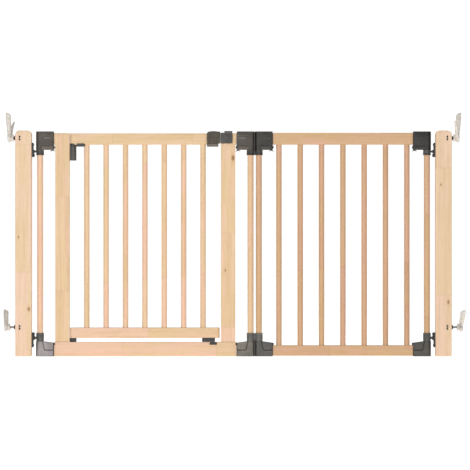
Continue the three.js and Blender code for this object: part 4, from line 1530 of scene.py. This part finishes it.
@dataclass
class DoorFrame:
    """The stiles, the threshold with its keep, and the fixed half of the hinge and the latch."""

    depth: float = 22.0
    edge: float = 2.0
    hinge_clear: float = 4.3
    notch_drop: float = 15.0
    notch_x: float = 85.5

    def build(self) -> None:
        """Makes every piece of the door frame."""
        self.threshold()
        self.stile("hinge_stile", Side.LEFT)
        self.stile("latch_stile", Side.RIGHT)
        self.striker()
        self.barrel()
        self.pivot()
        self.keep()

    def _wood(self, name: str, form: Form, grain: Grain, seed: float, *knots: Knot) -> None:
        """Dresses a frame member in beech and makes it a piece.

        Args:
            name: Its CAD name.
            form: Its shape.
            grain: The grain's direction.
            seed: Sets its stretch of grain apart.
            knots: Its knots.
        """
        wood = Beech(FRAME_BEECH, grain, seed, "wood_frame", 0.34, knots=knots)
        form.piece(f"{name}_wood", wood, "door_frame", name)

    def threshold(self) -> None:
        """Makes the low threshold bar."""
        left = cad("connector_door_left_lower").x[0] + CONNECTOR_LENGTH + FIT
        right = cad("connector_door_right_lower").x[1] - CONNECTOR_LENGTH - FIT
        box = cad("threshold")
        form = Form.block((left, right), (-self.depth / 2, self.depth / 2), box.z).eased(self.edge, 4)
        self._wood("threshold", form, Grain.LEVEL, 4.1)

    def stile(self, name: str, side: Side) -> None:
        """Makes a stile with its stub towards the connector, notched on the latch side for the striker.

        Args:
            name: Its CAD name.
            side: The door's end that it is at.
        """
        low, high = cad(name).z
        near, far, stub = 55.0, 107.0, 50.0 + FIT
        stub_low = cad("connector_door_left_upper").z[0] + 19.0
        corner = [(far, high)]
        knots: list[Knot] = []
        if side is Side.RIGHT:
            notch = cad("lock_slider").z[1] - self.notch_drop
            corner = [(far, notch), (self.notch_x, notch), (self.notch_x, high)]
            knots = [Knot(-0.0015, -0.011, 0.716, 0.0065), Knot(-0.030, -0.011, 0.31, 0.003)]
        outline = [(near, low), (far, low), *corner, (stub, high), (stub, stub_low), (near, stub_low)]
        form = Form.extruded(outline, (-self.depth / 2, self.depth / 2)).stood().eased(self.edge, 4)
        place = Place(cad(f"dowel_door_{side.value}").middle().x, side is Side.RIGHT)
        self._wood(name, place.put(form), Grain.UPRIGHT, 1.7 if side is Side.LEFT else 6.4, *knots)

    def striker(self) -> None:
        """Makes the striker housing: stepped block, cheeks over the stile, bolt pocket and inset cover."""
        box = cad("striker_housing")
        low, high = box.x
        foot, top = box.z
        ledge, shelf = low + 14.0, top - 6.0
        outline = [(low, foot), (high, foot), (high, top), (ledge, top), (ledge, shelf), (low, shelf)]
        form = Form.extruded(outline, box.y).stood().eased(1.8, 4)
        slider = cad("lock_slider").z[1]
        stile_top = cad("latch_stile").z[1]
        half = self.depth / 2 + FIT
        notch = slider - self.notch_drop
        over = Form.block((low + 22.8, high + 5.0), (-half, half), (foot - 1, stile_top + FIT))
        under = Form.block((low + 1.2, high + 5.0), (-half, half), (foot - 1, notch + FIT))
        bolt = ((-6.0, 6.0), (slider - 12.0, slider + 2.0))
        pocket = Form.block((low - 1.0, low + 12.0), *bolt)
        form.cut(over, under, pocket)
        plastic = MouldedNylon(screen(60, 57, 51), 2.2, 0.4)
        form.piece("striker_housing_moulding", plastic, "door_frame", "striker_housing")
        cover = rounded(rectangle((low + 15.0, high - 6.0), (foot + 7.0, top - 13.0)), 3.0)
        for index, y in enumerate(box.y):
            plate = Form.extruded(cover, (-0.6, 0.6)).stood().eased(0.4, 3, above=60).shifted(y=y)
            plate.piece(f"striker_cover_{index + 1}", MouldedNylon(BLUE_GREY, 5.0, 0.34), "door_frame")
        buffer_xs = (cad("handle_housing").x[1] + 0.6, low + 0.6)
        buffer = Form.block(buffer_xs, (-15.0, 15.0), (foot + 3.0, shelf - 2.0)).eased(0.4, 2)
        buffer.cut(Form.block((low - 4.0, low + 2.0), *bolt))
        buffer.piece("striker_buffer", MouldedNylon(screen(30, 28, 26), 0.6, 0.6), "door_frame")
        # A pale rim just proud of both faces, level with the shelf: painted highlight along a groove edge.
        proud = (box.y[0] - 0.35, box.y[1] + 0.35)
        rim = Form.block((ledge + 1.5, high - 1.5), proud, (top - 7.4, top - 6.2))
        line = MouldedNylon(screen(120, 118, 112), 1.0, 0.34)
        rim.eased(0.3, 2).piece("striker_painted_highlight", line, "door_frame")

    def barrel(self) -> None:
        """Makes the hinge barrel: a bored sleeve with two grooves and a slit, on a pad."""
        box = cad("hinge_barrel")
        axis = cad("hinge_pin").middle().x
        low, high = box.z
        radius = box.x[1] - axis
        bore = self.hinge_clear
        groove = [(0.0, -0.9), (-0.6, -0.4), (-0.6, 0.4), (0.0, 0.9)]
        grooves = (low + 12.9, high - 13.1)
        flank = [(radius + sunk, middle + rise) for middle in grooves for sunk, rise in groove]
        ends = [(radius, high - 0.9), (radius - 0.9, high), (bore, high)]
        profile = [(bore, low), (radius - 0.9, low), (radius, low + 0.9), *flank, *ends]
        form = Form.turned(profile, ring=True, sides=64).shifted(x=axis)
        pad = Form.block((box.x[0], axis - bore - 1.0), (-9.0, 9.0), (low + 0.3, high - 0.3)).eased(1.0, 3)
        slit = Form.block((axis + 1.2, axis + 2.0), (-radius - 1.0, 0.6 - radius), (low + 3.0, high - 3.0))
        form.with_(pad).cut(slit)
        plastic = MouldedNylon(screen(66, 63, 58), 3.3, 0.38)
        form.piece("hinge_barrel_moulding", plastic, "door_frame", "hinge_barrel")

    def pivot(self) -> None:
        """Makes the lower pivot: a ribbed block with its pin."""
        node = cad("lower_pivot")
        axis = cad("hinge_pin").middle().x
        foot = node.z[0]
        head = cad("leaf_bottom_rail").z[0] - FIT
        form = Form.block(node.x, (-10.0, 10.0), (foot, head)).eased(1.2, 3)
        xs = [axis + x for x in (-7.0, -3.5, 0.0, 3.5, 7.0)]
        form.with_(*ribs(xs, 0.5, 10.0, 0.4, (foot + 2.0, head - 2.0), 0.25))
        form.with_(Form.rod(4.0, (head - 2.0, node.z[1]), sides=32, ease=0.6).shifted(x=axis))
        form.piece("lower_pivot_moulding", MouldedNylon(NEAR_BLACK, 1.9, 0.42), "door_frame", "lower_pivot")

    def keep(self) -> None:
        """Makes the keep on the threshold, below the leaf's foot, with its rivet."""
        leaf_end = cad("leaf_bottom_rail").x[1]
        top = cad("threshold").z[1]
        outline = rounded(rectangle((leaf_end - 36.0, leaf_end - 10.0), (top - 10.0, top - 0.3)), 2.0)
        form = Form.extruded(outline, (10.8, 13.8)).stood().eased(0.8, 3, above=60)
        form.with_(Form.rod(2.2, (-14.6, -13.6), ALONG_Y, 24, 0.3).shifted(x=leaf_end - 23.0, z=top - 5.2))
        form.piece("threshold_keep", MouldedNylon(NEAR_BLACK, 2.9, 0.42), "door_frame")


# ---------------------------------------------------------------- leaf


@dataclass
class Leaf:
    """The swinging leaf: rails, slats, hinge bracket, foot, handle housing and lock slider."""

    end_radius: float = 11.0
    edge: float = 2.0
    slats: int = 7
    pin_clear: float = 4.3
    travel: float = 8.0
    hollow: float = 11.3

    def __post_init__(self) -> None:
        """Finds the hinge axis."""
        self.axis = cad("hinge_pin").middle().x

    def build(self) -> None:
        """Makes every piece of the leaf."""
        self.rail("leaf_top_rail")
        self.rail("leaf_bottom_rail")
        for index in range(self.slats):
            name = f"leaf_slat_{index + 1}"
            rails = ("leaf_bottom_rail", "leaf_top_rail")
            Slat(name, SLAT_BEECH, *rails, "door_leaf", "wood_slat").build(index)
        self.bracket()
        self.pin()
        self.foot()
        self.housing()
        self.slider()

    def rail(self, name: str) -> None:
        """Makes a rail, half-round at the hinge and bored for its pin.

        Args:
            name: Its CAD name.
        """
        box = cad(name)
        plan = half_round(self.end_radius, box.x[1] - self.axis)
        if name == "leaf_bottom_rail":
            far = box.x[1] - self.axis - self.end_radius
            plan = [(far - x, -y) for x, y in half_round(self.end_radius, 0.0)[2:]] + plan[2:]
        form = Form.extruded(plan, box.z).eased(self.edge, 4, above=60).shifted(x=self.axis)
        ends = (box.z[0] - 1.0, box.z[0] + 31.0)
        form.cut(Form.rod(self.pin_clear, ends, sides=32).shifted(x=self.axis))
        seed = 7.7 if name == "leaf_top_rail" else 9.2
        wood = Beech(FRAME_BEECH, Grain.LEVEL, seed, "wood_frame", 0.29)
        form.piece(f"{name}_wood", wood, "door_leaf", name)

    def bracket(self) -> None:
        """Makes the hinge bracket under the top rail: collar, leg, cheeks and the sleeve round the rail."""
        box = cad("hinge_bracket")
        low, high = box.z
        radius = self.axis - box.x[0]
        bore = self.pin_clear
        collar = [(bore, low), (radius - 0.7, low), (radius, low + 0.7)]
        collar += [(radius, high - 0.7), (radius - 0.7, high), (bore, high)]
        form = Form.turned(collar, ring=True, sides=64).shifted(x=self.axis)
        root, end = self.axis + 7.0, box.x[1]
        leg = [(root, -8.6), (end - 5.0, -8.6), (end, -5.0), (end, 5.0), (end - 5.0, 8.6), (root, 8.6)]
        form.with_(Form.extruded(rounded(leg, 1.5), (low + 0.2, high)).eased(0.9, 3, above=60))
        rim = high + 4.6
        sleeve = [(10.9, high - 0.2), (12.0, high - 0.2), (12.0, high + 4.0), (11.5, rim), (10.9, rim)]
        form.with_(Form.turned(sleeve, ring=True, sides=64).shifted(x=self.axis))
        near = self.axis + 13.0
        cheek = [(near, low), (end + 1.0, low), (end + 4.6, low + 3.5)]
        cheek += [(end + 4.6, high + 1.0), (end + 0.5, rim), (near, rim)]
        for direction in BOTH_FACES:
            flank = Form.extruded(rounded(cheek, 1.0), (-1.3, 1.3)).stood().eased(0.5, 3, above=60)
            form.with_(flank.shifted(y=direction * 12.4))
        web = Form.block((near, end - 1.0), (-12.0, 12.0), (low + 0.3, high - 0.1))
        form.with_(web.eased(0.4, 2))
        plastic = MouldedNylon(screen(58, 55, 50), 4.4, 0.4)
        form.piece("hinge_bracket_moulding", plastic, "door_leaf", "hinge_bracket")

    def pin(self) -> None:
        """Makes the hinge pin."""
        box = cad("hinge_pin")
        form = Form.rod((box.x[1] - box.x[0]) / 2, box.z, sides=40, ease=0.8).shifted(x=self.axis)
        form.piece("hinge_pin_turned", ZincSteel(0.5), "hinge_pin", "hinge_pin")

    def foot(self) -> None:
        """Makes the foot that guides the leaf's free end over the threshold."""
        rail = cad("leaf_bottom_rail")
        low = cad("threshold").z[1] + 0.8
        end = rail.x[1]
        top = rail.z[0] + 1.2
        outline = rounded(rectangle((end - 63.5, end - 16.5), (low, top)), 2.5)
        form = Form.extruded(outline, (-11.8, 11.8)).stood().eased(1.0, 3, above=60)
        xs = [end + x for x in (-59.0, -23.5, -20.5)]
        form.with_(*ribs(xs, 0.7, 11.8, 0.5, (low + 2.5, rail.z[0] - 2.0), 0.3))
        form.piece("leaf_foot", MouldedNylon(screen(50, 47, 43), 6.1, 0.42), "door_leaf")

    def housing(self) -> None:
        """Makes the handle housing over the top rail's end, hollow for the slider, with grip panels."""
        box = cad("handle_housing")
        low, high = box.x
        foot, top = box.z
        outline = [(low, foot), (high, foot), (high, top), (low + 6.0, top), (low, top - 5.0)]
        form = Form.extruded(outline, box.y).stood().eased(2.4, 4)
        sunk = 0.9
        for direction in BOTH_FACES:
            form.recessed(Vector((0.0, direction, 0.0)), 4.0, sunk)
        slider = cad("lock_slider").z[1]
        hollow_zs = (foot - 1, cad("leaf_top_rail").z[1] + FIT)
        hollow = Form.block((low - 1, high - 3.0), (-self.hollow, self.hollow), hollow_zs)
        window = Form.block((high - 4.0, high + 1.0), (-4.6, 4.6), (slider - 10.6, slider + 0.6))
        form.cut(hollow, window)
        for y in (box.y[0] + sunk, box.y[1] - sunk):
            for x in [low + 12.0 + index * 7.5 for index in range(4)]:
                bar = Form.block((x - 1.1, x + 1.1), (y - 0.7, y + 0.7), (foot + 9.0, top - 12.0))
                form.with_(bar.eased(0.6, 3))
        plastic = MouldedNylon(GREEN_GREY, 8.2, 0.38)
        form.piece("handle_housing_moulding", plastic, "door_leaf", "handle_housing")
        button = Form.turned([(0.0, 0.0), (9.0, 0.0), (9.0, 1.0), (8.2, 1.8), (4.0, 2.2), (0.0, 2.3)])
        button.moved(Matrix.Diagonal((1.5, 1.0, 1.0, 1.0))).shifted(x=(low + high) / 2, z=top - 0.4)
        button.piece("handle_button", MouldedNylon(DARK, 1.4, 0.36), "door_leaf")

    def slider(self) -> None:
        """Makes the lock slider: bolt, stem and a ribbed thumb tab."""
        box = cad("lock_slider")
        housing = cad("handle_housing")
        rail_end = cad("leaf_top_rail").x[1]
        stem = (rail_end + 4.0, rail_end + 15.0)
        tab_top = cad("leaf_top_rail").z[0] - 2 * FIT
        low, high = box.z
        thick = (-4.0, 4.0)
        form = Form.block((stem[0], housing.x[1] - FIT), thick, (high - 10.0, high)).eased(0.8, 3)
        form.with_(Form.block(stem, thick, (tab_top - 1.0, high)).eased(0.6, 2))
        tab = (box.x[0], cad("latch_stile").x[0] - self.travel - 1.0)
        cheek = housing.z[0] - FIT
        trough = Form.block((tab[0] - 1, tab[1] + 1), (-self.hollow, self.hollow), (tab_top, cheek + 1))
        form.with_(Form.block(tab, (-17.0, 17.0), (low, cheek)).eased(1.6, 4).cut(trough))
        middle = (low + cheek) / 2
        xs = [tab[0] + 6.0 + index * 4.2 for index in range(8)]
        form.with_(*ribs(xs, 0.7, 17.0, 0.5, (middle - 2.6, middle + 1.6), 0.4))
        form.piece("lock_slider_moulding", MouldedNylon(TAB_GREY, 2.6, 0.36), "lock_slider", "lock_slider")


@dataclass
class Slat:
    """A round slat pegged between two rails."""

    name: str
    tone: WoodTone
    below: str
    above: str
    body: str
    slot: str
    radius: float = 10.0

    def build(self, index: int) -> None:
        """Makes the slat, with eased shoulders and its own stretch of grain.

        Args:
            index: Sets its grain apart from the other slats'.
        """
        box = cad(self.name)
        ends = (cad(self.below).z[1], cad(self.above).z[0])
        form = Form.rod(self.radius, ends, sides=56, ease=0.7).shifted(x=box.middle().x)
        wood = Beech(self.tone, Grain.UPRIGHT, 0.37 + index * 1.618, self.slot, 0.42)
        form.piece(f"{self.name}_wood", wood, self.body, self.name)


@dataclass
class FixedPanel:
    """The fixed panel's rails and slats."""

    slats: int = 7
    edge: float = 2.0
    depth: float = 22.0

    def build(self) -> None:
        """Makes the rails and slats between the panel's connectors."""
        left = cad("connector_panel_left_upper").x[0] + CONNECTOR_LENGTH + FIT
        right = cad("connector_panel_right_upper").x[1] - CONNECTOR_LENGTH - FIT
        for name, seed in (("panel_top_rail", 3.3), ("panel_bottom_rail", 5.9)):
            box = cad(name)
            form = Form.block((left, right), (-self.depth / 2, self.depth / 2), box.z).eased(self.edge, 4)
            wood = Beech(RUBBED_BEECH, Grain.LEVEL, seed, "wood_frame", 0.3)
            form.piece(f"{name}_wood", wood, "fixed_panel", name)
        for index in range(self.slats):
            name = f"panel_slat_{index + 1}"
            rails = ("panel_bottom_rail", "panel_top_rail")
            Slat(name, WARM_BEECH, *rails, "fixed_panel", "wood_slat_warm").build(index + 8)


# ---------------------------------------------------------------- studio


@dataclass
class Studio:
    """A pale floor, soft lights and the camera."""

    distance: float = 12.0
    lens: float = 254.9
    front: float = -0.021
    eye: Vector = Vector((0.0054, 0.0, 0.438))

    def build(self) -> None:
        """Makes the studio."""
        self.floor()
        self.world()
        self.light("key", (-2.0, -4.6, 1.5), 65.0, 2.2)
        self.light("fill", (2.0, -5.0, 1.2), 28.0, 2.2)
        self.light("top", (0.3, 0.6, 3.4), 26.0, 2.6)
        self.camera()
        bpy.context.scene.view_settings.view_transform = "Standard"

    def camera(self) -> None:
        """Stands the camera level in front of the gate."""
        camera = bpy.data.cameras.new("camera")
        camera.lens = self.lens
        camera.sensor_width = 36.0
        holder = bpy.data.objects.new("camera", camera)
        back = Vector((0.0, self.front - self.distance, 0.0))
        holder.matrix_world = Matrix.Translation(self.eye + back) @ UPRIGHT
        bpy.context.scene.collection.objects.link(holder)
        bpy.context.scene.camera = holder

    def floor(self) -> None:
        """Lays the pale floor."""
        plane = bmesh.new()
        bmesh.ops.create_grid(plane, x_segments=2, y_segments=2, size=14.0)
        mesh = bpy.data.meshes.new("floor")
        plane.to_mesh(mesh)
        plane.free()
        holder = bpy.data.objects.new("floor", mesh)
        bpy.context.scene.collection.objects.link(holder)
        look = Shading("floor_paper")
        cloud = look.noise(look.place, 1.5)
        tint = look.mix(cloud * 0.1, toned(WHITE, 0.97), toned(WHITE, 0.94))
        glow = {"Emission Color": WHITE, "Emission Strength": 0.66}
        mesh.materials.append(look.dress({"Base Color": tint, "Roughness": 0.9, **glow}))

    def world(self) -> None:
        """Surrounds the gate with white light, dimmer at its two ends, and shows pure white behind it."""
        world = bpy.data.worlds.new("studio")
        nodes = Nodes(world)
        sky = nodes.node("ShaderNodeTexCoord", {}, {}).outputs["Generated"]
        end = nodes.axes(sky)[0].size().smooth(0.45, 0.95)
        light = 0.47 - end * 0.39
        seen = nodes.signal("ShaderNodeLightPath", {}, {})
        strength = seen * 1.05 + (1 - seen) * light
        back = nodes.node("ShaderNodeBackground", {}, {"Color": WHITE, "Strength": strength})
        nodes.node("ShaderNodeOutputWorld", {}, {"Surface": back.outputs[0]})
        bpy.context.scene.world = world

    def light(self, name: str, spot: tuple[float, float, float], power: float, size: float) -> None:
        """Hangs a soft square light that looks at the gate's middle.

        Args:
            name: The light's name.
            spot: Where it hangs.
            power: Its power in watts.
            size: The length of its sides.
        """
        lamp = bpy.data.lights.new(name, "AREA")
        lamp.energy = power
        lamp.size = size
        holder = bpy.data.objects.new(name, lamp)
        aim = (self.eye - Vector(spot)).to_track_quat("-Z", "Y")
        holder.matrix_world = Matrix.Translation(spot) @ aim.to_matrix().to_4x4()
        bpy.context.scene.collection.objects.link(holder)


def main() -> None:
    """Builds the gate and its studio."""
    logging.basicConfig(level=logging.INFO, format="%(message)s")
    Studio().build()
    for side in Side:
        ClampEnd(side).build()
    Corners("door", "door_frame").build()
    Corners("panel", "fixed_panel").build()
    MiddleLink().build()
    DoorFrame().build()
    Leaf().build()
    FixedPanel().build()


if __name__ == "__main__":
    main()
